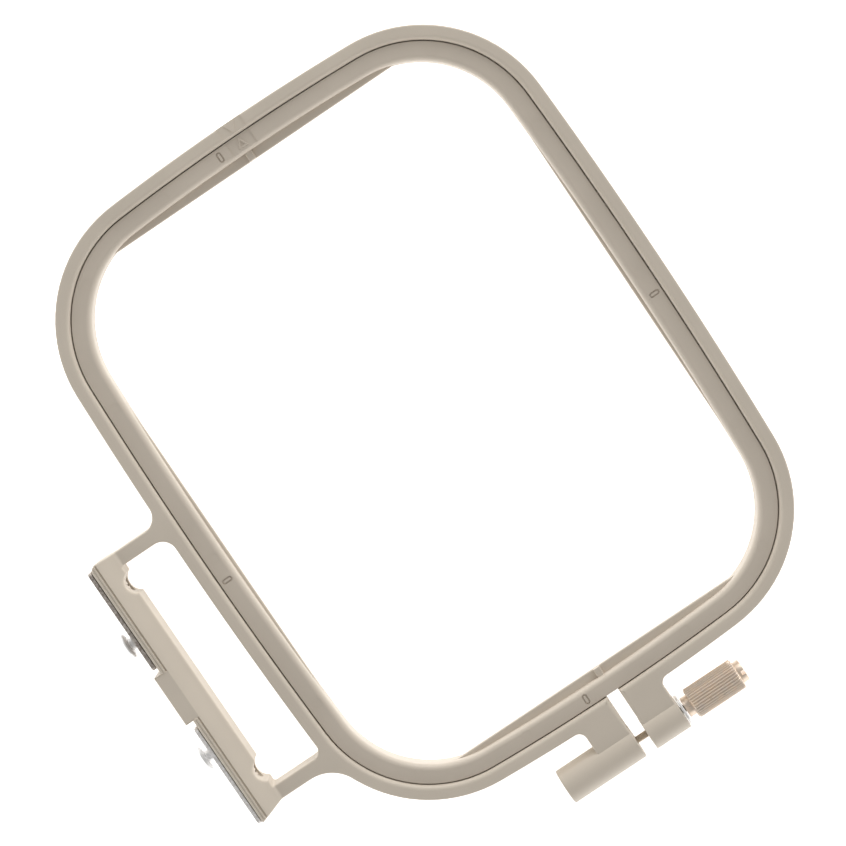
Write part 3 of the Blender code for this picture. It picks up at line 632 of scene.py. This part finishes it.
def build_outer_frame(material):
    outline, rounds = outer_outline()
    slot = slot_outline()
    slot_rounds = [OUTER_EDGE_ROUND] * len(slot)
    mesh_data = rounded_solid([outline, slot], (0.0, OUTER_TOP), [rounds, slot_rounds], FOOT_ROUND)
    raise_bracket(mesh_data)
    bmesh.ops.triangulate(mesh_data, faces=[f for f in mesh_data.faces if len(f.verts) > 4])
    obj = make_object("outer_frame_moulding", mesh_data)
    left_x = (BARREL_X, SPLIT_X[0] + BOSS_STEP)
    right_x = (SPLIT_X[1] - BOSS_STEP, LUG_X + BOSS_STEP)
    for name, x_range in (("left_barrel", left_x), ("right_barrel", right_x)):
        barrel = lying_cylinder(name, x_range, 2.0 * BARREL_R, SCREW_Y, SCREW_Z, BARREL_SIDES, BARREL_ROUND)
        apply_boolean(obj, barrel, "UNION")
    bore_x = (NUT_POCKET_END - WALL_MARGIN, LUG_X + WALL_MARGIN)
    bore = lying_cylinder("screw_bore", bore_x, CLEARANCE_D, SCREW_Y, SCREW_Z, HOLE_SIDES)
    apply_boolean(obj, bore, "DIFFERENCE")
    pocket_d = (NUT_FLATS + NUT_CLEARANCE) / math.cos(math.pi / 6.0)
    pocket_x = (BARREL_X - WALL_MARGIN, NUT_POCKET_END)
    pocket = lying_cylinder("nut_pocket", pocket_x, pocket_d, SCREW_Y, SCREW_Z, 6)
    apply_boolean(obj, pocket, "DIFFERENCE")
    for end in ENDS:
        hole_x = (BAR_OUTER_X - WALL_MARGIN, BAR_OUTER_X + STUD_HOLE_DEPTH)
        hole = lying_cylinder("stud_hole", hole_x, STUD_HOLE_D, STUD_Y[end], STUD_Z, HOLE_SIDES)
        apply_boolean(obj, hole, "DIFFERENCE")
        apply_boolean(obj, stepped_hole(end), "DIFFERENCE")
    panel_y = (GAP_HALF_Y - WALL_MARGIN, GAP_HALF_Y + OUTER_WALL + WALL_MARGIN)
    panel = box_solid((-PANEL_HALF, PANEL_HALF), panel_y, (OUTER_TOP - PANEL_DEPTH, OUTER_TOP + WALL_MARGIN))
    apply_boolean(obj, make_object("arrow_panel", panel), "DIFFERENCE")
    arrow = triangle(ARROW_OUTER, GAP_HALF_Y + OUTER_WALL - ARROW_OUTER_INSET, -1.0)
    floor = OUTER_TOP - PANEL_DEPTH
    apply_boolean(obj, raised_mark("outer_arrow", arrow, floor - MARK_SINK, floor + MARK_RAISE), "UNION")
    return finish_piece(obj, material, "outer_frame", "outer_frame")


# ---------------------------------------------------------------- inner frame

def inner_section():
    """(offset from the gap line, height) round the inner frame's wall, from outer foot to lip's root."""
    fillet = Vector((-(INNER_WALL - INNER_FILLET), INNER_TOP - INNER_FILLET))
    foot = Vector((-FIT_GAP - FOOT_ROUND, FOOT_ROUND))
    section = [tuple(p) for p in arc(foot, FOOT_ROUND, -math.pi / 2.0, 0.0, 4)]
    edge = Vector((-FIT_GAP - GAP_EDGE_ROUND, INNER_TOP - GAP_EDGE_ROUND))
    section += [tuple(p) for p in arc(edge, GAP_EDGE_ROUND, 0.0, math.pi / 2.0, 4)]
    section += [tuple(p) for p in arc(fillet, INNER_FILLET, math.pi / 2.0, math.pi, 8)]
    section.append((-INNER_WALL, LIP_Z[1]))
    return section


def inner_outline(offset):
    """Outline inside the gap line, stretched so that the wall is thicker at the sides than at the ends."""
    share = -offset / INNER_WALL
    wide = 1.0 - share * SIDE_THICKER / (GAP_HALF_X - INNER_WALL)
    tall = 1.0 + share * END_THINNER / (GAP_HALF_Y - INNER_WALL)
    return [Vector((p.x * wide, p.y * tall)) for p in frame_outline(offset)]


def clamp_to_lip(point, inset):
    """The lip runs straight along its edges and dies away in the corners."""
    half_x = LIP_HALF_X + inset
    half_y = LIP_HALF_Y + inset
    return Vector((max(-half_x, min(half_x, point.x)), max(-half_y, min(half_y, point.y))))


def stadium(centre, along_y, inset):
    """Outline of a mark with round ends, drawn inset from the full size."""
    width, length = PILL
    radius = width / 2.0 - inset
    run = (length - width) / 2.0
    half = math.pi / 2.0
    top = arc(Vector((0.0, run)), radius, 0.0, 2.0 * half, 10)
    bottom = arc(Vector((0.0, -run)), radius, 2.0 * half, 4.0 * half, 10)
    points = top + bottom
    if not along_y:
        points = [Vector((p.y, -p.x)) for p in points]
    return [p + Vector(centre) for p in points]


def mark_places():
    """Centres of the four engraved field marks on the inner frame, with True where the mark runs along Y."""
    x, y = FIELD_CENTRE
    front_y = end_y(-PILL_FROM_GAP, x)
    right_x = side_x(-PILL_FROM_GAP, y)
    return [((x, -front_y), True), ((x, front_y), True), ((right_x, y), False), ((-right_x, y), False)]


def ejector_places():
    """Centres of the ejector pin marks round the inner frame's top."""
    corner, radius = corner_circle()
    way = Vector((math.cos(EJECTOR_ANGLE), math.sin(EJECTOR_ANGLE)))
    one_quarter = [Vector((EJECTOR_X, -end_y(-EJECTOR_FROM_GAP, EJECTOR_X))),
                   corner + way * (radius - EJECTOR_FROM_GAP),
                   Vector((side_x(-EJECTOR_FROM_GAP, EJECTOR_Y), EJECTOR_Y))]
    places = [Vector((p.x * sx, p.y * sy)) for p in one_quarter for sx in (-1, 1) for sy in (-1, 1)]
    middle = side_x(-EJECTOR_FROM_GAP, 0.0)
    return places + [Vector((middle, 0.0)), Vector((-middle, 0.0))]


def build_inner_frame(material):
    mesh_data = bmesh.new()
    rows = []
    for offset, z in inner_section():
        rows.append([mesh_data.verts.new((p.x, p.y, z)) for p in inner_outline(offset)])
    wall = inner_outline(-INNER_WALL)
    lip = arc(Vector((LIP_ROUND, LIP_Z[1] - LIP_ROUND)), LIP_ROUND, math.pi / 2.0, math.pi, 4)
    lip += arc(Vector((LIP_ROUND, LIP_Z[0] + LIP_ROUND)), LIP_ROUND, math.pi, 1.5 * math.pi, 4)
    for step in lip:
        rows.append([mesh_data.verts.new((*clamp_to_lip(p, step.x), step.y)) for p in wall])
    rows.append([mesh_data.verts.new((p.x, p.y, LIP_Z[0])) for p in wall])
    for step in arc(Vector((FOOT_ROUND - INNER_WALL, FOOT_ROUND)), FOOT_ROUND, math.pi, 1.5 * math.pi, 4):
        rows.append([mesh_data.verts.new((p.x, p.y, step.y)) for p in inner_outline(step.x)])
    add_wall(mesh_data, rows + rows[:1])
    obj = make_object("inner_frame_moulding", mesh_data)
    for side in (1.0, -1.0):
        y_range = sorted((side * (LIP_HALF_Y + RIB_SETBACK), side * (GAP_HALF_Y - INNER_WALL / 2.0)))
        half = RIB_WIDTH / 2.0
        outline = [Vector((-half, y_range[0])), Vector((half, y_range[0])),
                   Vector((half, y_range[1])), Vector((-half, y_range[1]))]
        rib = rounded_solid([outline], (sum(LIP_Z) / 2.0, RIB_TOP), [[RIB_ROUND] * 4], SHARP_FOOT, 3)
        apply_boolean(obj, make_object("rib", rib), "UNION")
    for centre, along_y in mark_places():
        groove = flat_solid(stadium(centre, along_y, 0.0), (INNER_TOP - PILL_DEPTH, INNER_TOP + WALL_MARGIN))
        apply_boolean(obj, make_object("pill_groove", groove), "DIFFERENCE")
        island_z = (INNER_TOP - 2.0 * PILL_DEPTH, INNER_TOP - 0.1 * PILL_DEPTH)
        island = flat_solid(stadium(centre, along_y, PILL_GROOVE), island_z)
        apply_boolean(obj, make_object("pill_island", island), "UNION")
    for centre in ejector_places():
        disc = flat_solid(arc(centre, EJECTOR_R, 0.0, 2.0 * math.pi, 32)[:-1],
                          (INNER_TOP - EJECTOR_DEPTH, INNER_TOP + WALL_MARGIN))
        apply_boolean(obj, make_object("ejector", disc), "DIFFERENCE")
    flat_end = GAP_HALF_Y - (INNER_WALL - INNER_FILLET)
    panel = box_solid((-PANEL_HALF, PANEL_HALF), (flat_end - PANEL_PAST_FLAT, GAP_HALF_Y + WALL_MARGIN),
                      (INNER_TOP - PANEL_DEPTH, INNER_TOP + WALL_MARGIN))
    apply_boolean(obj, make_object("arrow_panel", panel), "DIFFERENCE")
    floor = INNER_TOP - PANEL_DEPTH
    arrow = triangle(ARROW_INNER, flat_end + ARROW_INNER_INSET, 1.0)
    centre = sum(arrow, Vector((0.0, 0.0))) / 3.0
    apply_boolean(obj, raised_mark("inner_arrow", arrow, floor - MARK_SINK, floor + MARK_RAISE), "UNION")
    hollow = flat_solid([centre + (p - centre) * ARROW_HOLLOW for p in arrow], (floor, floor + WALL_MARGIN))
    apply_boolean(obj, make_object("arrow_hollow", hollow), "DIFFERENCE")
    return finish_piece(obj, material, "inner_frame", "inner_frame")


# ---------------------------------------------------------------- bracket hardware

def local_box(node):
    """A CAD node's box, measured from the design's centre."""
    low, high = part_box(node)
    return low - CENTRE, high - CENTRE


def build_plate(end, material):
    """Stamped plate with rounded corners and two holes."""
    low, high = local_box(f"{end}_mount_plate")
    corners = [Vector(c) for c in ((low.y, low.z), (high.y, low.z), (high.y, high.z), (low.y, high.z))]
    outline = []
    for i, corner in enumerate(corners):
        outline += rounded_corner(corners[i - 1], corner, corners[(i + 1) % 4], PLATE_CORNER, 6)
    loops = [outline]
    for hole in ((STUD_Y[end], STUD_Z), (NOTCH_Y[end], PLATE_SCREW_Z)):
        loops.append(arc(Vector(hole), PLATE_BORE / 2.0, 2.0 * math.pi, 0.0, HOLE_SIDES)[:-1])
    rounds = [[PLATE_EDGE_ROUND] * len(loop) for loop in loops]
    mesh_data = rounded_solid(loops, (low.x, high.x), rounds, PLATE_BACK_ROUND, 3)
    upright = Matrix(((0.0, 0.0, 1.0), (1.0, 0.0, 0.0), (0.0, 1.0, 0.0)))
    bmesh.ops.rotate(mesh_data, verts=mesh_data.verts, matrix=upright)
    obj = make_object(f"{end}_stamped_plate", mesh_data)
    return finish_piece(obj, material, "outer_frame", f"{end}_mount_plate")


def build_stud(end, material):
    """Turned stud: domed mushroom head, neck, shoulder against the plate and tail."""
    low, high = local_box(f"{end}_mount_stud")
    head_r = (high.y - low.y) / 2.0
    seat_x = local_box(f"{end}_mount_plate")[0].x - STUD_SEAT_GAP
    under_x = low.x + STUD_HEAD[-1][0]
    profile = [(low.x, 0.0)] + [(low.x + depth, share * head_r) for depth, share in STUD_HEAD]
    profile += [(under_x, STUD_NECK_R), (seat_x, STUD_NECK_R), (seat_x, STUD_TAIL_R), (high.x, STUD_TAIL_R),
                (high.x, 0.0)]
    obj = make_object(f"{end}_stud_turned", turned_solid(rounded_profile(profile, STUD_ROUND), 64),
                      (0.0, STUD_Y[end], STUD_Z))
    return finish_piece(obj, material, "outer_frame", f"{end}_mount_stud", 50.0)


def build_plate_screw(end, material):
    """Slotted cheese-head screw."""
    low, high = local_box(f"{end}_plate_screw")
    head_r = (high.y - low.y) / 2.0
    under_x = high.x - SCREW_HEAD_HEIGHT
    profile = [(low.x, 0.0), (low.x, SCREW_TIP_R), (low.x + SCREW_TIP, SCREW_SHANK_R),
               (under_x, SCREW_SHANK_R), (under_x, head_r), (high.x, head_r), (high.x, 0.0)]
    obj = make_object(f"{end}_screw_turned", turned_solid(rounded_profile(profile, SCREW_ROUND), 48),
                      (0.0, NOTCH_Y[end], PLATE_SCREW_Z))
    cutter = box_solid((high.x - DRIVER_SLOT_DEPTH, high.x + WALL_MARGIN),
                       (NOTCH_Y[end] - DRIVER_SLOT_HALF, NOTCH_Y[end] + DRIVER_SLOT_HALF),
                       (PLATE_SCREW_Z - head_r - WALL_MARGIN, PLATE_SCREW_Z + head_r + WALL_MARGIN))
    apply_boolean(obj, make_object("driver_slot", cutter), "DIFFERENCE")
    return finish_piece(obj, material, "outer_frame", f"{end}_plate_screw")


# ---------------------------------------------------------------- clamp screw

def build_knob(material):
    """Collar, straight-knurled grip and slotted end; the knurl is a rounded tooth form cut by formula."""
    low, high = local_box("clamp_knob")
    knurl_r = (high.y - low.y) / 2.0
    edge_r = knurl_r - KNURL_CHAMFER - KNURL_DEPTH
    first_x, last_x = KNURL_X[0] + KNURL_CHAMFER, KNURL_X[1] - KNURL_CHAMFER
    far, near = KNOB_END_ROUND
    profile = [(KNOB_BORE_END, 0.0), (KNOB_BORE_END, METAL_BORE_R), (low.x, METAL_BORE_R),
               (low.x, COLLAR_R - METAL_EDGE), (low.x + METAL_EDGE, COLLAR_R), (KNURL_X[0], COLLAR_R)]
    first_tooth = len(profile)
    profile += [(KNURL_X[0], edge_r), (first_x, knurl_r)]
    profile += [(first_x + (last_x - first_x) * i / KNURL_ROWS, knurl_r) for i in range(1, KNURL_ROWS)]
    profile += [(last_x, knurl_r), (KNURL_X[1], edge_r)]
    last_tooth = len(profile) - 1
    profile += [(KNURL_X[1], KNOB_END_R), (high.x - far, KNOB_END_R), (high.x - near, KNOB_END_R - near),
                (high.x, KNOB_END_R - far), (high.x, 0.0)]

    def tooth(index, angle):
        if not first_tooth < index < last_tooth:
            return 0.0
        wave = 0.5 - 0.5 * math.cos(KNURL_TEETH * angle)
        wander = noise.noise(Vector((index * 0.7, 9.0 * math.cos(angle), 9.0 * math.sin(angle))))
        return -KNURL_DEPTH * wave ** 2 - abs(KNURL_WANDER * wander)

    obj = make_object("knurled_knob", turned_solid(profile, KNURL_SIDES, tooth), (0.0, SCREW_Y, SCREW_Z))
    cutter = box_solid((high.x - COIN_SLOT_DEPTH, high.x + WALL_MARGIN),
                       (SCREW_Y - COIN_SLOT_HALF, SCREW_Y + COIN_SLOT_HALF),
                       (SCREW_Z - knurl_r, SCREW_Z + knurl_r))
    apply_boolean(obj, make_object("coin_slot", cutter), "DIFFERENCE")
    return finish_piece(obj, material, "clamp_screw", "clamp_knob", 50.0)


def build_shaft(material):
    """Threaded rod: the thread is a real helix, cut as a wave in the radius."""
    low, high = local_box("clamp_shaft")
    radius = (high.y - low.y) / 2.0
    count = int((high.x - low.x) / THREAD_PITCH * THREAD_ROWS)
    xs = [low.x + (high.x - low.x) * i / count for i in range(count + 1)]
    profile = [(low.x, 0.0)] + [(x, radius) for x in xs] + [(high.x, 0.0)]

    def thread(index, angle):
        x = profile[index][0]
        phase = (x / THREAD_PITCH - angle / (2.0 * math.pi)) % 1.0
        end_taper = max(0.0, THREAD_TAPER - (x - low.x))
        return -THREAD_DEPTH * (1.0 - abs(2.0 * phase - 1.0)) - end_taper

    obj = make_object("threaded_rod", turned_solid(profile, THREAD_SIDES, thread), (0.0, SCREW_Y, SCREW_Z))
    return finish_piece(obj, material, "clamp_screw", "clamp_shaft", 60.0)


def build_washer(material):
    low, high = local_box("clamp_washer")
    outer_r = (high.y - low.y) / 2.0
    bore_r, edge = METAL_BORE_R, METAL_EDGE
    profile = [(low.x, bore_r + edge), (low.x, outer_r - edge), (low.x + edge, outer_r),
               (high.x - edge, outer_r), (high.x, outer_r - edge), (high.x, bore_r + edge),
               (high.x - edge, bore_r), (low.x + edge, bore_r)]
    obj = make_object("flat_washer", tube_solid(profile, METAL_SIDES), (0.0, SCREW_Y, SCREW_Z))
    return finish_piece(obj, material, "clamp_washer", "clamp_washer")


def build_nut(material):
    """Hexagon nut with its corners turned off."""
    low, high = local_box("clamp_nut")
    bore_r, edge = METAL_BORE_R, METAL_EDGE
    mesh_data = bmesh.new()
    rows = []
    flat_r = NUT_FLATS / 2.0
    for i in range(METAL_SIDES):
        angle = 2.0 * math.pi * i / METAL_SIDES
        from_flat = (angle + math.pi / 6.0) % (math.pi / 3.0) - math.pi / 6.0
        outer_r = flat_r / math.cos(from_flat)
        turned = min(outer_r, flat_r * NUT_CHAMFER)
        drop = (outer_r - turned) * 0.5
        section = ((low.x, bore_r + edge), (low.x, turned - NUT_EDGE), (low.x + drop + NUT_EDGE, outer_r),
                   (high.x - drop - NUT_EDGE, outer_r), (high.x, turned - NUT_EDGE),
                   (high.x, bore_r + edge), (high.x - edge, bore_r), (low.x + edge, bore_r))
        rows.append([mesh_data.verts.new((x, r * math.cos(angle), r * math.sin(angle))) for x, r in section])
    add_wall(mesh_data, rows + rows[:1])
    obj = make_object("hexagon_nut", mesh_data, (0.0, SCREW_Y, SCREW_Z))
    return finish_piece(obj, material, "outer_frame", "clamp_nut", 20.0)


# ---------------------------------------------------------------- materials

class Nodes:
    """Small helper that adds shader nodes and links them by name."""

    def __init__(self, name):
        self.material = bpy.data.materials.new(name)
        self.material.use_nodes = True
        self.tree = self.material.node_tree
        self.shader = self.tree.nodes["Principled BSDF"]
        coordinates = self.tree.nodes.new("ShaderNodeTexCoord")
        self.place = coordinates.outputs["Object"]

    def add(self, kind, inputs=None, **settings):
        node = self.tree.nodes.new(kind)
        for key, value in settings.items():
            setattr(node, key, value)
        for key, value in (inputs or {}).items():
            if isinstance(value, bpy.types.NodeSocket):
                self.tree.links.new(value, node.inputs[key])
            else:
                node.inputs[key].default_value = value
        return node

    def noise(self, scale, detail=2.0, roughness=0.5, place=None):
        node = self.add("ShaderNodeTexNoise", {"Vector": place or self.place, "Scale": scale,
                                               "Detail": detail, "Roughness": roughness})
        return node.outputs["Fac"]

    def stretched(self, scale):
        return self.add("ShaderNodeMapping", {"Vector": self.place, "Scale": scale}).outputs["Vector"]

    def ramp(self, value, low, high, from_min=0.0, from_max=1.0):
        node = self.add("ShaderNodeMapRange", {"Value": value, "From Min": from_min, "From Max": from_max,
                                               "To Min": low, "To Max": high})
        return node.outputs["Result"]

    def colours(self, value, low, high):
        node = self.add("ShaderNodeMix", data_type="RGBA")
        self.tree.links.new(value, node.inputs["Factor"])
        node.inputs["A"].default_value = (*low, 1.0)
        node.inputs["B"].default_value = (*high, 1.0)
        return node.outputs["Result"]

    def set(self, socket, value):
        if isinstance(value, bpy.types.NodeSocket):
            self.tree.links.new(value, self.shader.inputs[socket])
        else:
            self.shader.inputs[socket].default_value = value

    def bump(self, *layers):
        """Each layer is (height, strength, distance)."""
        normal = None
        for height, strength, distance in layers:
            inputs = {"Height": height, "Strength": strength, "Distance": distance}
            if normal:
                inputs["Normal"] = normal
            normal = self.add("ShaderNodeBump", inputs).outputs["Normal"]
        self.set("Normal", normal)


def plastic_material(name, colour):
    """Ivory moulding: faint flow marks and a spark-eroded grain."""
    nodes = Nodes(name)
    flow = nodes.noise(38.0, 3.0, 0.55)
    cloud = nodes.ramp(flow, 0.0, 1.0, 0.3, 0.7)
    darker = tuple(c * 0.965 for c in colour)
    lighter = tuple(min(1.0, c * 1.02) for c in colour)
    nodes.set("Base Color", nodes.colours(cloud, darker, lighter))
    grain = nodes.noise(2600.0, 2.0, 0.6)
    nodes.set("Roughness", nodes.ramp(grain, 0.40, 0.52, 0.35, 0.65))
    nodes.set("Metallic", 0.0)
    nodes.set("IOR", 1.5)
    nodes.set("Specular IOR Level", 0.4)
    nodes.bump((grain, 0.22, 0.00006), (flow, 0.06, 0.0004))
    return nodes.material


def plate_material(end, low, high):
    """Stamped steel: fine brushing, with a coarse speckle from low to high on the sheared edges. How dark low
    and high are is set for each plate as painted light and shade.
    """
    nodes = Nodes(f"{end}_stamped_steel_painted_shading")
    speckle = nodes.noise(1500.0, 4.0, 0.7)
    brushed = nodes.noise(900.0, 3.0, 0.6, nodes.stretched((1.0, 0.12, 1.0)))
    dots = nodes.ramp(speckle, 0.0, 1.0, 0.42, 0.58)
    nodes.set("Base Color", nodes.colours(dots, low, high))
    nodes.set("Metallic", 0.5)
    nodes.set("Roughness", nodes.ramp(brushed, 0.38, 0.62, 0.3, 0.7))
    nodes.bump((speckle, 0.7, 0.00018), (brushed, 0.2, 0.00005))
    return nodes.material


def bright_metal(name, colour, roughness, metallic):
    """Turned and plated metal: tool rings round the axis and slight haze."""
    nodes = Nodes(name)
    rings = nodes.noise(2400.0, 2.0, 0.5, nodes.stretched((1.0, 0.03, 0.03)))
    haze = nodes.noise(420.0, 3.0, 0.6)
    darker = tuple(c * 0.86 for c in colour)
    nodes.set("Base Color", nodes.colours(nodes.ramp(haze, 0.0, 1.0, 0.3, 0.7), darker, colour))
    nodes.set("Metallic", metallic)
    nodes.set("Roughness", nodes.ramp(rings, roughness * 0.8, roughness * 1.3, 0.3, 0.7))
    nodes.bump((rings, 0.15, 0.00004))
    return nodes.material


def knob_material():
    """Nickel over brass: warm where the plating is thin."""
    nodes = Nodes("knurled_nickel")
    patches = nodes.noise(260.0, 4.0, 0.65)
    scratches = nodes.noise(1800.0, 3.0, 0.6, nodes.stretched((0.15, 1.0, 1.0)))
    warm = nodes.ramp(patches, 0.0, 1.0, 0.35, 0.68)
    nodes.set("Base Color", nodes.colours(warm, (0.74, 0.65, 0.57), (0.84, 0.69, 0.55)))
    nodes.set("Metallic", 0.7)
    nodes.set("Roughness", nodes.ramp(scratches, 0.26, 0.44, 0.3, 0.7))
    nodes.bump((scratches, 0.2, 0.00005))
    return nodes.material


def build_materials():
    return {
        "outer": plastic_material("ivory_plastic_outer", (0.66, 0.595, 0.51)),
        # Same ivory plastic as the outer frame, made a little darker as painted shade on the inner frame
        "inner": plastic_material("ivory_plastic_inner_painted_shade", (0.63, 0.565, 0.485)),
        # Both plates are the same stamped steel: the rear plate's dark colours are painted shade, the front
        # plate's near-white ones a painted reflection
        "rear": plate_material("rear", (0.26, 0.22, 0.19), (0.62, 0.58, 0.54)),
        "front": plate_material("front", (0.72, 0.70, 0.68), (0.98, 0.97, 0.97)),
        "zinc": bright_metal("bright_zinc", (0.97, 0.975, 0.98), 0.24, 0.35),
        "steel": bright_metal("turned_steel", (0.72, 0.64, 0.54), 0.30, 0.8),
        "knob": knob_material(),
        "nut": bright_metal("nut_steel", (0.62, 0.60, 0.56), 0.32, 1.0),
    }


# ---------------------------------------------------------------- stage

def build_camera():
    aim = CENTRE + AIM
    lean = Vector((math.sin(CAMERA_TILT) * math.cos(CAMERA_AZIMUTH),
                   math.sin(CAMERA_TILT) * math.sin(CAMERA_AZIMUTH), math.cos(CAMERA_TILT)))
    backward = lean.normalized()
    picture_up = Vector((math.cos(PICTURE_UP), math.sin(PICTURE_UP), 0.0))
    right = picture_up.cross(backward).normalized()
    up = backward.cross(right)
    camera_data = bpy.data.cameras.new("camera")
    camera_data.lens = CAMERA_LENS
    camera_data.sensor_width = SENSOR
    camera_data.clip_start = 0.01
    camera_data.clip_end = 20.0
    camera = bpy.data.objects.new("camera", camera_data)
    bpy.context.scene.collection.objects.link(camera)
    rotation = Matrix((right, up, backward)).transposed().to_4x4()
    camera.matrix_world = Matrix.Translation(aim + lean * CAMERA_DISTANCE) @ rotation
    bpy.context.scene.camera = camera


def build_floor():
    mesh_data = bmesh.new()
    bmesh.ops.create_grid(mesh_data, x_segments=1, y_segments=1, size=FLOOR_SIZE)
    mesh = bpy.data.meshes.new("floor")
    mesh_data.to_mesh(mesh)
    mesh_data.free()
    floor = bpy.data.objects.new("floor", mesh)
    floor.location = (0.0, 0.0, FLOOR_Z)
    bpy.context.scene.collection.objects.link(floor)
    material = bpy.data.materials.new("white_floor")
    material.use_nodes = True
    shader = material.node_tree.nodes["Principled BSDF"]
    shader.inputs["Base Color"].default_value = (0.9, 0.9, 0.9, 1.0)
    shader.inputs["Roughness"].default_value = 0.9
    shader.inputs["Specular IOR Level"].default_value = 0.1
    shader.inputs["Emission Color"].default_value = (1.0, 0.99, 0.98, 1.0)
    shader.inputs["Emission Strength"].default_value = FLOOR_GLOW
    mesh.materials.append(material)


def add_area_light(name, direction, distance, size, power, colour):
    light = bpy.data.lights.new(name, "AREA")
    light.shape = "DISK"
    light.size = size
    light.energy = power
    light.color = colour
    obj = bpy.data.objects.new(name, light)
    way = Vector(direction).normalized()
    obj.location = CENTRE + way * distance
    obj.rotation_euler = way.to_track_quat("Z", "Y").to_euler()
    bpy.context.scene.collection.objects.link(obj)


def build_lights():
    world = bpy.data.worlds.new("studio")
    world.use_nodes = True
    tree = world.node_tree
    background = tree.nodes["Background"]
    background.inputs["Color"].default_value = (*SKY, 1.0)
    direction = tree.nodes.new("ShaderNodeTexCoord").outputs["Generated"]
    parts = tree.nodes.new("ShaderNodeSeparateXYZ")
    tree.links.new(direction, parts.inputs["Vector"])
    fade = tree.nodes.new("ShaderNodeMapRange")
    fade.interpolation_type = "SMOOTHSTEP"
    tree.links.new(parts.outputs["Z"], fade.inputs["Value"])
    for socket, value in zip(("From Min", "From Max", "To Min", "To Max"), (*SKY_BAND, SKY_HORIZON, SKY_TOP)):
        fade.inputs[socket].default_value = value
    tree.links.new(fade.outputs["Result"], background.inputs["Strength"])
    bpy.context.scene.world = world
    flat = math.cos(KEY_ELEVATION)
    way = (flat * math.cos(KEY_AZIMUTH), flat * math.sin(KEY_AZIMUTH), math.sin(KEY_ELEVATION))
    add_area_light("key", way, KEY_DISTANCE, KEY_SIZE, KEY_POWER, KEY_COLOUR)


def set_colour_management():
    settings = bpy.context.scene.view_settings
    settings.view_transform = "Standard"
    settings.look = "None"
    settings.exposure = 0.0
    settings.gamma = 1.0


def main():
    set_colour_management()
    build_camera()
    build_floor()
    build_lights()
    materials = build_materials()
    build_outer_frame(materials["outer"])
    build_inner_frame(materials["inner"])
    for end in ENDS:
        build_plate(end, materials[end])
        build_stud(end, materials["zinc"])
        build_plate_screw(end, materials["steel"])
    build_knob(materials["knob"])
    build_shaft(materials["steel"])
    build_washer(materials["zinc"])
    build_nut(materials["nut"])


main()
